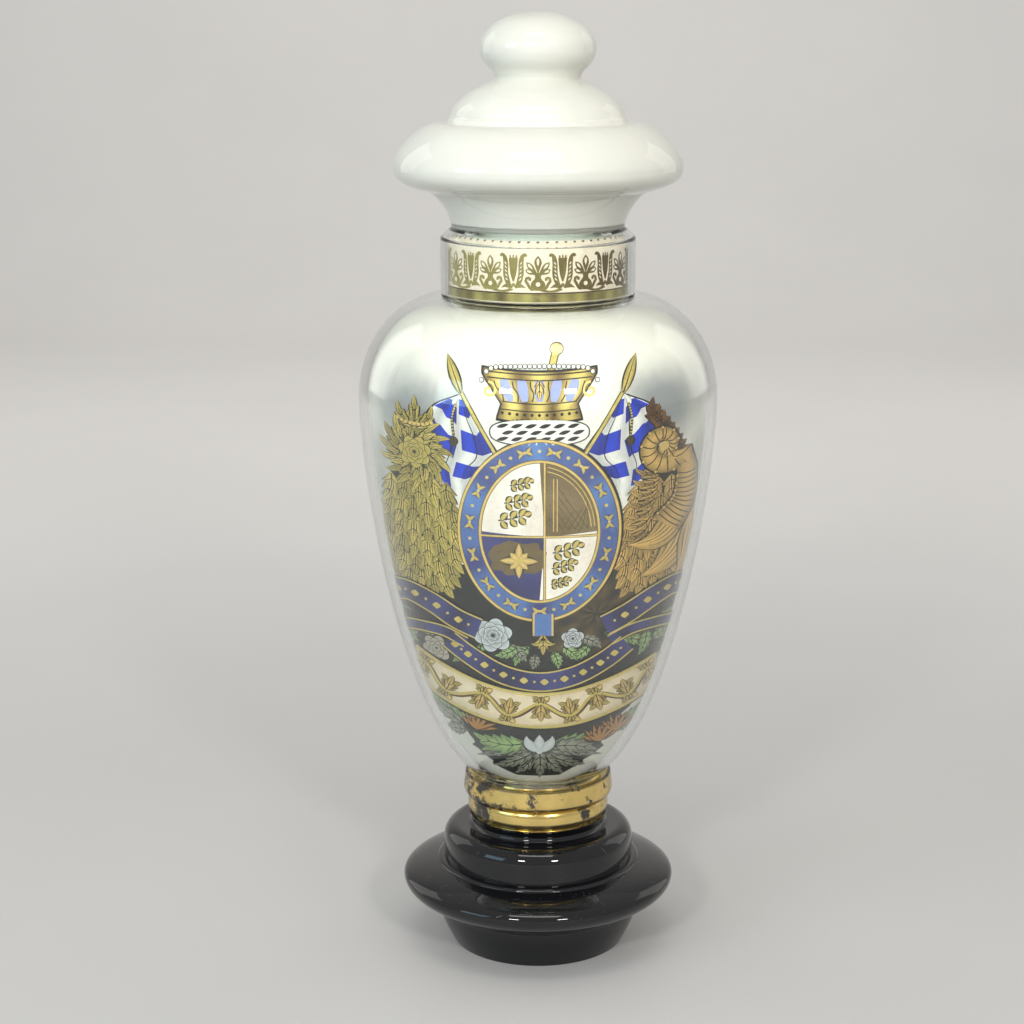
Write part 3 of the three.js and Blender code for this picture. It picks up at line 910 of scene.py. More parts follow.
def leaf(art, root, tip, bow, width, lobes, layer, light, dark, line, slot="gold_leaf", veins=True,
         hatch=()):
    """Leaf over a dark edge, with a dark spine, a vein into each lobe and engraved lines beside the
    spine, one for each column in `hatch`."""
    edge = leaf_grid(root, tip, bow, width + 1.0, lobes)[0]
    grid, spine, tone = leaf_grid(root, tip, bow, width, lobes)
    art.sheet("dark_enamel", edge, layer - 0.25, line)
    art.sheet(slot, grid, layer, light, dark, tone)
    if not veins:
        return
    art.sheet("dark_enamel", strip(spine[1:-2], np.linspace(1.0, 0.3, len(spine) - 3)), layer + 0.3, line)
    for tooth in range(1, lobes):
        row = int(len(spine) * tooth / lobes)
        for end in (1, -2):
            path = np.array([spine[max(row - 3, 0)], grid[max(row - 1, 0), end]])
            art.sheet("dark_enamel", strip(spline(path), 0.55), layer + 0.3, line)
    for column in hatch:
        art.line(grid[4:-3:3, column], 0.6, layer + 0.3, line, taper=True)


def rosette(art, centre, radius, petals, layer, light, dark, line, slot="foliage_enamel"):
    """Rose of scalloped rings, each smaller, higher and turned half a petal, with a dark edge."""
    for ring, share in enumerate((1.0, 0.76, 0.52, 0.3)):
        turn = ring * math.pi / petals + 0.3
        edge = scallops(centre, radius * share + 0.45, petals, 0.24, turn)
        rim = scallops(centre, radius * share, petals, 0.24, turn)
        art.sheet("dark_enamel", fill(edge, 4), layer + ring - 0.4, line)
        tone = np.linspace(0.1, 1.0, 4)[:, None] ** 1.6
        art.sheet(slot, fill(rim, 4), layer + ring, light, dark, tone)
    art.dot(centre, radius * 0.09, layer + 4, line, "dark_enamel")


def spiral(centre, radius, turns, start, inner=0.15, count=40):
    """Volute: the radius falls evenly from `radius` to a share of it as the angle grows."""
    t = np.linspace(0, 1, count)
    angle = start + turns * 2 * math.pi * t
    r = abs(radius) * (1 - (1 - inner) * t)
    flip = math.copysign(1.0, radius)
    return np.array(centre, float) + np.stack([flip * r * np.cos(angle), r * np.sin(angle)], 1)


# ---- Ornament ------------------------------------------------------------------------------------


def draw_ground(art, tint):
    """Dark ground with a ragged edge, behind the lower leaves."""
    t = np.linspace(0, 1, 60)
    side = np.interp(t, [0, 0.06, 0.3, 0.55, 0.8, 1], [14, 34, 64, 88, 102, 97])
    side = side + 2.2 * np.sin(t * 61) + 1.4 * np.sin(t * 143 + 1)
    z = 150 + t * 172
    left, right = np.stack([-side, z], 1), np.stack([side, z + 1.5 * np.sin(t * 40)], 1)
    tone = 0.5 + 0.5 * np.sin(np.linspace(0, 9, 46))[:, None] * np.sin(t * 17)[None]
    art.sheet("dark_enamel", between(left, right, 60), 1.6, tint.slate, tint.dark, 0.45 * tone[:1] + 0.2)
    worn = ellipse((40, 286), 44, 34, 70, power=0.8) + 1.6 * np.sin(np.linspace(0, 88, 70))[:, None]
    patch = 0.5 + 0.5 * np.sin(np.linspace(0, 50, 70))[None] * np.sin(np.linspace(1, 9, 18))[:, None]
    art.sheet("gold_leaf", fill(worn, 18), 2.2, tint.olive_dark, tint.slate, patch)


def draw_crest(art, tint):
    """Gold mortar with a pearled rim and a pestle, on a white twisted roll."""
    roll = ellipse((1, 420.5), 33, 8.6, 60, power=0.75)
    art.sheet("dark_enamel", fill(ellipse((1, 420.5), 33.9, 9.5, 60, power=0.75), 10), 5, tint.dark)
    art.sheet("white_paint", fill(roll, 10), 6, tint.white)
    for row, up in enumerate((416, 420.5, 425)):
        for across in np.arange(-24, 25, 9.5) + (row % 2) * 3.5:
            art.line([(across - 3.6, up - 0.9), (across, up), (across + 4.2, up + 1.2)], 2.7, 7, tint.dark,
                     taper=True)
    art.line([(6, 452), (9, 462), (12, 473)], 5.4, 2.4, tint.dark)
    art.line([(6, 452), (9, 462), (12, 473)], 4.0, 3.2, tint.gold, "gold_leaf")
    art.sheet("dark_enamel", fill(ellipse((12.5, 474), 5, 4, 20), 3), 2.6, tint.dark)
    art.sheet("gold_leaf", fill(ellipse((12.5, 474), 4.2, 3.3, 20), 3), 3.6, tint.bright_gold)
    rows = np.linspace(0, 1, 18)
    half = np.interp(rows, [0, 0.1, 0.3, 0.75, 0.9, 1], [28, 27, 25, 35, 38, 37.5])
    z = 430 + rows * 32
    dip = 2.4
    for grow, slot, layer, light, dark in ((1.5, "dark_enamel", 4, tint.dark, tint.dark),
                                           (0.0, "gold_leaf", 5, tint.gold, tint.brown_gold)):
        v = np.linspace(-1, 1, 25)
        grid = np.stack([1 + (half[:, None] + grow) * v, z[:, None] + dip * (v**2 - 1) + 0 * v], 2)
        grid[0, :, 1] -= grow
        grid[-1, :, 1] += grow
        art.sheet(slot, grid, layer, light, dark, 0.55 + 0.45 * np.cos(v * 9)[None])
    for panel in range(-2, 3):
        low, high = 1 + panel * 9.6, 1 + panel * 12.2
        rise = np.stack([np.linspace(low, high, 8), np.linspace(441, 455, 8) + 0.05 * panel**2], 1)
        width = 7.0 * np.sin(np.linspace(0.55, 2.3, 8))
        art.sheet("blue_enamel", strip(rise, width, 4), 6, tint.lilac, tint.light_blue, 0.7)
    for up, reach in ((434.5, 26), (439.5, 25), (454.6, 35), (458.2, 37)):
        art.line([(1 - reach, up + 1.6), (1, up), (1 + reach, up + 1.6)], 0.8, 6.4, tint.dark)
    for panel in np.arange(-2.5, 3.0):
        scroll = [(1 + panel * 9.6, 441), (2.5 + panel * 10.6, 446), (1 + panel * 11.6, 450), (1 + panel * 12.2, 454)]
        art.line(scroll, 0.9, 6.6, tint.dark)
    for bead in np.linspace(-1, 1, 11):
        art.dot((1 + 25 * bead, 432.3 + 1.4 * bead**2), 1.1, 6, tint.dark, "dark_enamel")
    for bead in np.linspace(-1, 1, 25):
        place = (1 + 39 * bead, 463.4 - 1.2 * bead**2 - 8 * abs(bead) ** 12)
        art.dot(place, 1.8, 6, tint.dark, "dark_enamel")
        art.dot(place, 1.3, 7, tint.white, "white_paint", 10)
    for side in (-1, 1):
        art.line(spiral((1 + side * 34, 448), side * 5.5, 1.2, 1.5), 1.5, 6, tint.gold, "gold_leaf")
    leaf(art, (1, 455), (1, 442), 0, 3.2, 3, 7, tint.bright_gold, tint.old_gold, tint.dark)


def draw_poles(art, tint):
    """Spear-headed poles with striped cloths and corded tassels."""
    for side, tip, base, foot in ((-1, (-60, 466), (-51.5, 445), (-27, 402)),
                                  (1, (65, 466), (57, 445), (30, 402))):
        inner = spline([base, (foot[0] + side * 13, 424), foot, (foot[0] + side * 14, 388),
                        (foot[0] + side * 19, 374)], 2.2)
        outer = spline([(base[0] + side * 3, 443), (base[0] + side * 20, 434), (base[0] + side * 31, 414),
                        (base[0] + side * 28, 394), (base[0] + side * 17, 370)], 2.2)
        count = min(len(inner), len(outer))
        inner, outer = (line[np.linspace(0, len(line) - 1, count).astype(int)] for line in (inner, outer))
        cloth = between(inner, outer, 17)
        v = np.linspace(0, 1, 17)[:, None]
        folds = 0.72 + 0.28 * np.cos(v * 19)
        art.sheet("dark_enamel", between(inner - (side, 0), outer + (side * 1.2, 0.6), 12), 1.4, tint.dark)
        art.sheet("white_paint", cloth, 2, tint.white, tint.grey, folds + 0 * cloth[..., 0])
        for start in (0.0, 0.3, 0.6):
            rows = np.arange(17)
            ahead = ((start + 0.07 * np.sin(rows / 16 * 5.0)) * (count - 1)).astype(int)
            for low, high in ((0, 7), (8, 16)):
                shift = 0.14 * (low > 0)
                picked = np.clip(ahead + int(shift * count), 0, count - 1)
                far = np.clip(picked + int(0.17 * count), 0, count - 1)
                rows_used = rows[low:high + 1]
                band = between(cloth[rows_used, picked[rows_used]], cloth[rows_used, far[rows_used]], 5)
                art.sheet("blue_enamel", band, 3, tint.vivid_blue, tint.deep_blue,
                          (0.55 + 0.45 * np.cos(v[rows_used, 0] * 19))[None])
        for share in (0.3, 0.62):
            art.line(cloth[int(share * 16), 2:-2:6], 0.8, 3.8, tint.dark, taper=True)
        hang = (base[0] + side * 4, 438)
        cord = [hang, (hang[0] + side * 2.5, 428), (hang[0] + side * 1.5, 416)]
        art.line(cord, 1.8, 4.6, tint.dark)
        for bead in spline(cord, 1.8):
            art.dot(bead, 0.75, 5.4, tint.gold, count=7)
        end = np.array(cord[-1])
        leaf(art, end, end + (0, -8), 0, 2.2, 0, 5.4, tint.old_gold, tint.dark_gold, tint.dark)
        shaft = [base, ((base[0] + foot[0]) / 2, (base[1] + foot[1]) / 2), foot]
        art.line(shaft, 3.2, 4.2, tint.dark)
        art.line(shaft, 2.0, 5, tint.gold, "gold_leaf")
        head = np.array(tip) + (side * 1.5, 3)
        leaf(art, np.array(base) - (0, 1.5), head, 0, 3.0, 0, 5.2, tint.gold, tint.dark_gold, tint.dark)


MEDALLION = (1.0, 349.0)
RING_OUTER = (55.0, 66.0)
RING_INNER = (40.5, 51.5)
FIELD_CORNER = (4.5, 346.0)


def quadrant(corner, start, end, scale=1.0):
    """Fan from the fields' shared corner to a stretch of the inner oval."""
    rim = ellipse(MEDALLION, RING_INNER[0] * scale, RING_INNER[1] * scale, 30, start, end)
    return between(np.broadcast_to(np.array(corner, float), rim.shape), rim, 12)


def sprig(art, place, size, layer, tint):
    """Small gold branch with three pairs of leaves."""
    x, z = place
    art.line([(x - size, z - 0.2 * size), (x, z), (x + size, z + 0.35 * size)], 0.9, layer, tint.dark)
    for step in (-0.75, -0.1, 0.5):
        for up in (-1, 1):
            root = (x + step * size, z + 0.25 * step * size)
            tip = (root[0] + 0.45 * size, root[1] + up * 0.55 * size)
            leaf(art, root, tip, 0.12 * up, 0.17 * size, 0, layer + 0.9, tint.gold, tint.old_gold,
                 tint.dark, veins=False)
    tip = (x + 1.3 * size, z + 0.45 * size)
    leaf(art, (x + 0.8 * size, z + 0.25 * size), tip, 0, 0.16 * size, 0, layer + 0.9, tint.bright_gold,
         tint.old_gold, tint.dark, veins=False)


def draw_medallion(art, tint):
    """Oval of four fields in a blue ring with gold edges, and the leaf that hangs from it."""
    shadow = ellipse((2.0, 349.8), RING_OUTER[0] + 1.6, RING_OUTER[1] + 1.8, 120)
    art.sheet("dark_enamel", fill(shadow, 16), 5, tint.dark)
    ring = between(ellipse(MEDALLION, *RING_INNER, 120), ellipse(MEDALLION, *RING_OUTER, 120), 6)
    weather = 0.5 + 0.3 * np.sin(np.linspace(0, 31, 120)) + 0.2 * np.sin(np.linspace(2, 73, 120))
    art.sheet("blue_enamel", ring, 6, tint.light_blue, tint.ribbon_blue, weather[None] + 0 * ring[..., 0])
    for axes, width in ((RING_OUTER, 1.7), (RING_INNER, 1.6)):
        edge = ellipse(MEDALLION, axes[0], axes[1], 120)
        art.sheet("dark_enamel", strip(edge, width + 1.0), 6.6, tint.old_gold)
        art.sheet("gold_leaf", strip(edge, width), 7.4, tint.bright_gold)
    middle = ((RING_OUTER[0] + RING_INNER[0]) / 2, (RING_OUTER[1] + RING_INNER[1]) / 2)
    for step in range(30):
        angle = (step + 0.5) * 2 * math.pi / 30
        centre = np.array(MEDALLION) + (middle[0] * math.cos(angle), middle[1] * math.sin(angle))
        along = np.array([-middle[0] * math.sin(angle), middle[1] * math.cos(angle)])
        along /= np.linalg.norm(along)
        out = np.array([along[1], -along[0]])
        if step % 2:
            art.dot(centre, 1.2, 7, tint.gold)
            continue
        for a in (-1, 1):
            for b in (-1, 1):
                tip = centre + along * 4.6 * a + out * 3.4 * b
                leaf(art, centre + along * 0.6 * a, tip, 0.14 * a * b, 1.15, 0, 7, tint.gold,
                     tint.old_gold, tint.ribbon_blue, veins=False)
        art.dot(centre, 1.0, 8, tint.bright_gold)
    quarters = ((0.5, 1.0, tint.field, tint.cream_shade), (0.0, 0.5, tint.olive, tint.olive_dark),
                (1.0, 1.5, tint.ribbon_blue, tint.ribbon_dark), (1.5, 2.0, tint.field, tint.cream_shade))
    for start, end, light, dark in quarters:
        grid = quadrant(FIELD_CORNER, start * math.pi, end * math.pi)
        slot = "cream_paint" if light is tint.field else "blue_enamel" if start == 1.0 else "gold_leaf"
        patch = 0.7 + 0.3 * np.sin(3 + 5 * np.linspace(0, 1, 12)[:, None] * np.linspace(1, 2, 30)[None])
        art.sheet(slot, grid, 6, light, dark, patch)
    x, z = FIELD_CORNER
    upright = np.array([(x, MEDALLION[1] - RING_INNER[1] + 0.5), (x, MEDALLION[1] + RING_INNER[1] - 0.5)])
    level = np.array([(MEDALLION[0] - RING_INNER[0] + 0.5, z), (MEDALLION[0] + RING_INNER[0] - 0.5, z)])
    for bar in (upright, level):
        art.line(bar, 1.9, 6.8, tint.old_gold)
        art.line(bar, 1.1, 7.6, tint.bright_gold, "gold_leaf")
    for step in range(3):
        sprig(art, (-17 + 2.6 * step, 359.5 + 12.5 * step), 10.0 - 1.4 * step, 7, tint)
        sprig(art, (19.5 - 2.2 * step, 336 - 12 * step), 9.6 - 1.6 * step, 7, tint)
    for scale in (0.93, 0.87):
        arc = ellipse(MEDALLION, RING_INNER[0] * scale, RING_INNER[1] * scale, 40, 0.08, 1.42)
        art.sheet("gold_leaf", strip(arc, 0.6), 7, tint.bright_gold)
    for side in (7.5, 10.0):
        art.line([(x + side - 1.5, z + 4), (x + side - 1.5, z + 42)], 0.6, 7, tint.bright_gold, "gold_leaf")
    for step in range(5):
        start = (x + 12 + 4.4 * step, z + 5)
        art.line([start, (x + 9, z + 10 + 6.5 * step)], 0.5, 7, tint.old_gold)
        art.line([start, (min(start[0] + 7 + 2 * step, x + 29), z + 18 + 2 * step)], 0.5, 7, tint.old_gold)
    worn = ellipse((-14, 330), 19, 12, 40, power=0.7) + 1.2 * np.sin(np.linspace(0, 50, 40))[:, None]
    art.sheet("gold_leaf", fill(worn, 8), 6.8, tint.olive, tint.olive_dark, 0.4)
    star = (-13, 328)
    for step in range(8):
        angle = step * math.pi / 4
        reach = 13.0 if step % 2 == 0 else 8.5
        tip = (star[0] + reach * math.cos(angle), star[1] + reach * math.sin(angle))
        leaf(art, star, tip, 0, 2.4, 0, 7.6, tint.bright_gold, tint.old_gold, tint.dark, veins=False)
    art.dot(star, 2.0, 9, tint.gold)
    tab = spline([(3.5, 288), (3.5, 280), (3.5, 271)])
    art.sheet("dark_enamel", strip(tab, 15.5, 5), 7.6, tint.dark)
    art.sheet("gold_leaf", strip(tab, 14.4, 5), 8.2, tint.bright_gold)
    art.sheet("blue_enamel", strip(tab, 11.6, 5), 9, tint.light_blue, tint.ribbon_blue, 0.8)
    leaf(art, (3.5, 272.5), (3.5, 256), 0, 4.4, 3, 9, tint.bright_gold, tint.old_gold, tint.dark)
    for side in (-1, 1):
        leaf(art, (3.5, 270), (3.5 + side * 8.5, 265), side * -0.25, 2.0, 0, 9, tint.gold, tint.old_gold,
             tint.dark)


def draw_plumes(art, rows, width, lobes, shades, dark, line, start):
    """Rows of overlapping leaves that hang and fan out, each row over the one below it. A row is its
    level, its two ends, its number of leaves and their length."""
    for step, (level, left, right, count, long) in enumerate(rows):
        for k, x in enumerate(np.linspace(left, right, count)):
            fan = 2 * k / (count - 1) - 1
            drop = 3.0 * abs(fan) + 2.0 * ((k + step) % 2)
            tip = (x + 0.3 * long * fan, level - drop - long)
            leaf(art, (x, level - drop), tip, -0.14 * fan, width, lobes, start + 0.35 * step + 0.12 * (k % 2),
                 shades[(k + step) % 3], dark, line, hatch=(2, 4))


def draw_left_side(art, tint):
    """Rosette in a wreath of plumes over a hanging mane of leaves."""
    light = tint.gold
    dark = tuple(0.28 * v for v in light[:3])
    shades = [tuple(factor * v for v in light[:3]) for factor in (0.8, 1.0, 1.16)]
    mass = ellipse((-83, 350), 25, 44, 50, power=0.85)
    art.sheet("dark_enamel", fill(mass, 12), 2, tint.dark)
    rows = ((318, -98, -64, 5, 20), (331, -102, -60, 6, 24), (345, -104, -58, 6, 25),
            (359, -105, -57, 6, 25), (373, -104, -58, 6, 25), (387, -102, -62, 5, 24))
    draw_plumes(art, rows, 7.4, 3, shades, dark, tint.dark, 2.4)
    for ring, (reach, count) in enumerate(((27, 15), (20, 13))):
        for step in range(count):
            angle = (step + 0.5 * ring) * 2 * math.pi / count
            tip = (-84 + reach * math.cos(angle), 401 + 1.1 * reach * math.sin(angle))
            leaf(art, (-84, 401), tip, 0.14, 5.4, 3, 5.2 + ring + 0.3 * (step % 2), shades[(step + ring) % 3],
                 dark, tint.dark, hatch=(2, 4))
    rosette(art, (-84, 401), 11.5, 7, 7.4, light, dark, tint.dark, "gold_leaf")
    for lean in (-1, 1, 0):
        leaf(art, (-84, 418), (-84 + lean * 12, 440 - 5 * abs(lean)), -0.15 * lean, 4.4, 3,
             7 + 0.4 * (lean == 0), light, dark, tint.dark, hatch=(2, 4))
    for bead in range(9):
        art.dot((-84 + 3.0 * (bead - 4), 421 + 0.14 * (bead - 4) ** 2), 1.2, 8, tint.bright_gold)


def draw_right_side(art, tint):
    """Volute on a scaled stem, brown leaves behind it, and broad smooth leaves below."""
    light = tint.warm_gold
    dark = tuple(0.3 * v for v in light[:3])
    shades = [tuple(factor * v for v in light[:3]) for factor in (0.8, 1.0, 1.12)]
    deep = [tuple(factor * v for v in tint.brown_gold[:3]) for factor in (1.6, 3.4, 2.4)]
    mass = ellipse((86, 344), 25, 42, 50, power=0.85)
    art.sheet("dark_enamel", fill(mass, 12), 2, tint.dark)
    rows = ((318, 62, 98, 5, 19), (331, 60, 102, 6, 23), (345, 58, 104, 6, 24), (359, 60, 105, 6, 24),
            (373, 64, 105, 5, 23), (386, 68, 104, 4, 20))
    draw_plumes(art, rows, 7.4, 3, shades, dark, tint.dark, 2.4)
    for step in range(13):
        share = step / 12
        root = (99 - 14 * share + 5 * math.sin(3 * share), 372 + 50 * share)
        tip = (root[0] + 13 - 20 * share, root[1] + 10 + 8 * share)
        leaf(art, root, tip, 0.22, 6.0, 4, 6.4 - 0.12 * step, deep[step % 3], tint.brown_gold, tint.dark,
             hatch=(2, 4))
    for step in range(7):
        root = (86 - 1.6 * step, 388 - 6.5 * step)
        tip = (66 - 1.5 * step, 392 - 8.5 * step)
        leaf(art, root, tip, 0.2, 4.2, 3, 4.6 + 0.1 * step, shades[step % 3], dark, tint.dark, hatch=(2, 4))
    broad = (((104, 362), (70, 310), 0.2, 11.0), ((100, 368), (62, 336), 0.26, 9.5),
             ((108, 352), (96, 304), 0.1, 9.0))
    for step, (root, tip, bow, width) in enumerate(broad):
        leaf(art, root, tip, bow, width, 0, 5.8 + 0.6 * step, shades[2], dark, tint.dark, hatch=(1, 2, 4, 5))
    path = np.vstack([spline([(88, 346), (101, 362), (103, 384)]), spiral((86, 405), 15, -1.4, -0.5, 0.12)])
    taper = np.interp(np.linspace(0, 1, len(path)), [0, 0.35, 1], [24, 15, 4.0])
    art.sheet("dark_enamel", strip(path, taper + 2.2, 5), 7.6, tint.dark)
    art.sheet("gold_leaf", strip(path, taper, 5), 8.2, light, dark,
              np.array([0.15, 0.9, 1.0, 0.7, 0.15])[None] + 0 * path[:, :1])
    art.dot((86, 405), 3.4, 9, tint.bright_gold)
    for share in np.linspace(0.04, 0.92, 30):
        row = strip(path, taper * 0.84, 3)[int(share * (len(path) - 1))]
        art.line([row[0], row[1] + (0.3, -1.2), row[2]], 0.75, 8.8, tint.dark)
    for bead in strip(path, taper * 0.95, 2)[2:-8:3, 1]:
        art.dot(bead, 0.9, 9, tint.bright_gold, count=7)


def draw_ribbon(art, points, width, tint, dots=True):
    """Blue ribbon with gold edges and a row of gold dots and lozenges."""
    path = spline(points, 2.0)
    shade = 0.5 + 0.5 * np.sin(np.linspace(0, 14, len(path)))[:, None]
    art.sheet("dark_enamel", strip(path, width + 3.0, 6), 7.2, tint.dark)
    art.sheet("blue_enamel", strip(path, width, 6), 8, tint.ribbon_blue, tint.ribbon_dark, shade)
    for edge in (0, -1):
        line = strip(path, width, 2)[:, edge]
        art.sheet("gold_leaf", strip(line, 1.1), 8.8, tint.gold)
    if not dots:
        return
    for step, place in enumerate(spline(points, 6.2)[1:-1]):
        if step % 2:
            art.dot(place, 1.0, 8.8, tint.gold)
        else:
            rim = ellipse(place, 3.0, 2.6, 17, power=1.6)
            art.sheet("gold_leaf", fill(rim, 3), 8.8, tint.gold)


def draw_ribbons(art, tint):
    """Scrolls at the sides and the long ribbon that joins them."""
    draw_ribbon(art, [(-96, 262), (-84, 267), (-66, 268), (-50, 262)], 8, tint, dots=False)
    draw_ribbon(art, [(97, 266), (84, 270), (66, 270), (50, 264)], 8, tint, dots=False)
    draw_ribbon(art, [(-104, 288), (-91, 293), (-74, 289), (-57, 280), (-41, 274)], 16, tint)
    draw_ribbon(art, [(107, 291), (95, 296), (80, 292), (62, 283), (46, 276)], 16, tint)
    draw_ribbon(art, [(-62, 262), (-46, 251), (-24, 239), (1, 234), (25, 238), (46, 248), (62, 259)], 15,
                tint)


def draw_banner(art, tint):
    """Cream banner with gold borders and a running scroll of gold leaves."""
    path = spline([(-91, 235), (-70, 226.5), (-45, 217.5), (-22, 212), (1, 210), (24, 211.5), (46, 216.5),
                   (68, 223), (87, 229)], 2.0)
    for side, root in ((-1, (-88, 232)), (1, (85, 227))):
        tail = [root, (root[0] + side * 4, root[1] + 6), (root[0] + side * 4, root[1] + 15)]
        art.sheet("dark_enamel", strip(spline(tail), 16, 4), 6.4, tint.dark)
        art.sheet("cream_paint", strip(spline(tail), 14, 4), 7, tint.banner, tint.olive, 0.4)
    art.sheet("dark_enamel", strip(path, 33, 8), 7.6, tint.dark)
    shade = np.interp(np.linspace(0, 1, 8), [0, 0.3, 0.7, 1], [0.35, 1, 1, 0.6])[None]
    ends = np.interp(np.linspace(0, 1, len(path)), [0, 0.12, 0.88, 1], [0.3, 1, 1, 0.3])[:, None]
    art.sheet("cream_paint", strip(path, 30, 8), 8.4, tint.banner, tint.banner_shade, shade * ends)
    for offset, width in ((28.6, 1.6), (25.2, 0.6)):
        for edge in (0, -1):
            art.sheet("gold_leaf", strip(strip(path, offset)[:, edge], width), 9.2, tint.gold)
    frame_line = strip(path, 1.0)
    along = np.gradient(path, axis=0)
    side_way = frame_line[:, 1] - frame_line[:, 0]
    wave = 6.0 * np.sin(np.linspace(0, 9 * math.pi, len(path)))
    stem = path + side_way * wave[:, None]
    art.sheet("dark_enamel", strip(stem[3:-3] + (0.7, -0.7), 4.0), 9.2, tint.brown_gold)
    art.sheet("gold_leaf", strip(stem[3:-3], 2.3), 10, tint.gold)
    reach = len(path) // 9
    for step in range(9):
        at = int((step + 0.5) * len(path) / 9)
        up = np.sign(math.sin((step + 0.5) * math.pi))
        root = stem[min(at, len(path) - 1)]
        ahead = along[at] / np.linalg.norm(along[at])
        out = side_way[at] * up
        inner = root - out * 12.0
        for lean in (-1, 1):
            leaf(art, root + ahead * lean, inner + ahead * 8.0 * lean, -0.2 * up * lean, 4.4, 3, 9.8,
                 tint.gold, tint.old_gold, tint.brown_gold)
            leaf(art, root + ahead * 1.5 * lean, root + out * 5.5 + ahead * 6.5 * lean, 0.2 * up * lean, 2.6, 2,
                 9.8, tint.gold, tint.old_gold, tint.brown_gold)
        leaf(art, root, root - out * 15.5, 0, 3.8, 2, 10.2, tint.bright_gold, tint.old_gold, tint.brown_gold)
        berry = root + out * 4.4 + ahead * 0.4 * reach
        art.dot(berry, 2.2, 9.6, tint.brown_gold, "dark_enamel")
        art.dot(berry, 1.6, 10.4, tint.bright_gold)


def draw_foliage(art, tint):
    """Leaves, roses and tufts above and below the banner."""
    green, grey = (tint.green, tint.dark_green), (tint.leaf_grey, tint.slate)
    leaves = (
        ((-99, 272), (-92, 254), 0.1, 5, grey), ((-96, 268), (-84, 252), -0.1, 5, green),
        ((-52, 258), (-60, 244), 0.1, 4.5, green), ((-14, 262), (-30, 254), 0.1, 5, green),
        ((-6, 262), (-16, 246), -0.1, 5, green), ((16, 262), (28, 250), 0.1, 5, green),
        ((10, 258), (14, 244), 0.1, 4.5, green), ((-2, 256), (-4, 244), 0.05, 4.5, grey),
        ((30, 268), (44, 258), 0.1, 5, grey), ((66, 268), (54, 250), -0.1, 5.5, green),
        ((76, 266), (70, 246), 0.1, 5, green), ((84, 262), (98, 276), 0.15, 6, green),
        ((80, 256), (98, 258), 0.1, 5.5, green), ((86, 250), (96, 244), 0.1, 4.5, grey),
        ((-46, 194), (-78, 214), 0.1, 7, green), ((-52, 190), (-82, 200), -0.1, 6, grey),
        ((-50, 186), (-66, 180), -0.1, 6, grey), ((54, 190), (84, 204), -0.1, 6.5, green),
        ((52, 186), (72, 184), 0.1, 6, grey), ((-8, 182), (-46, 186), 0.14, 10, green),
        ((-8, 178), (-40, 170), -0.1, 8, green), ((10, 182), (46, 187), -0.14, 10, green),
        ((10, 178), (42, 170), 0.1, 8, grey), ((-2, 174), (-32, 158), 0.06, 6, grey),
        ((4, 174), (34, 158), -0.06, 6, grey), ((-1, 174), (-16, 152), 0.05, 6, grey),
        ((3, 174), (18, 152), -0.05, 6, grey), ((1, 176), (1, 148), 0.02, 6, grey),
        ((-2, 176), (-44, 164), -0.04, 4.5, grey), ((4, 176), (46, 164), 0.04, 4.5, grey),
        ((-60, 222), (-88, 222), 0.1, 5, green), ((62, 212), (90, 216), -0.1, 5, green),
        ((-40, 262), (-46, 246), 0.1, 4.5, green), ((-22, 262), (-8, 250), 0.12, 5, grey),
        ((36, 262), (22, 252), 0.12, 4.5, green), ((46, 270), (60, 262), 0.1, 4.5, green),
        ((60, 262), (78, 252), 0.12, 5, green), ((88, 262), (98, 254), 0.1, 5, green),
        ((-82, 262), (-64, 266), 0.1, 4.5, green), ((-94, 262), (-102, 274), 0.1, 4.5, grey),
    )
    for step, (root, tip, bow, width, tints) in enumerate(leaves):
        leaf(art, root, tip, bow, width, 5, 2.2 + 0.8 * (step % 4), *tints, tint.dark, "foliage_enamel")
    for centre in ((-43, 195), (56, 190), (44, 184)):
        for step in range(17):
            angle = 0.35 + step * 2.45 / 16 + (0.2 if centre[0] < 0 else 0.0)
            reach = 13 + 3 * math.sin(step * 2.4)
            tip = (centre[0] - reach * math.cos(angle), centre[1] - 5 + reach * math.sin(angle))
            leaf(art, (centre[0], centre[1] - 6), tip, 0.05, 1.3, 0, 4.2 + 0.3 * (step % 3), tint.orange,
                 tint.brown_gold, tint.dark, "foliage_enamel", veins=False)
    rosette(art, (-31, 270), 13.5, 6, 5.8, tint.rose_grey, tint.slate, tint.dark)
    rosette(art, (-71, 252), 10.5, 6, 3.4, tint.rose_pink, tint.leaf_grey, tint.dark)
    rosette(art, (-94, 258), 9, 6, 2.8, tint.green, tint.slate, tint.dark)
    rosette(art, (24, 268), 8, 5, 5.2, tint.rose_grey, tint.slate, tint.dark)
    for lean in (-1, 0, 1):
        leaf(art, (1, 174), (1 + lean * 9, 189 - abs(lean)), -0.15 * lean, 3.8, 0, 5.6, tint.rose_grey,
             tint.leaf_grey, tint.dark, "foliage_enamel", veins=False)
    art.dot((1, 174), 2.2, 6.6, tint.rose_grey, "foliage_enamel")


FRIEZE_PAIRS = 12


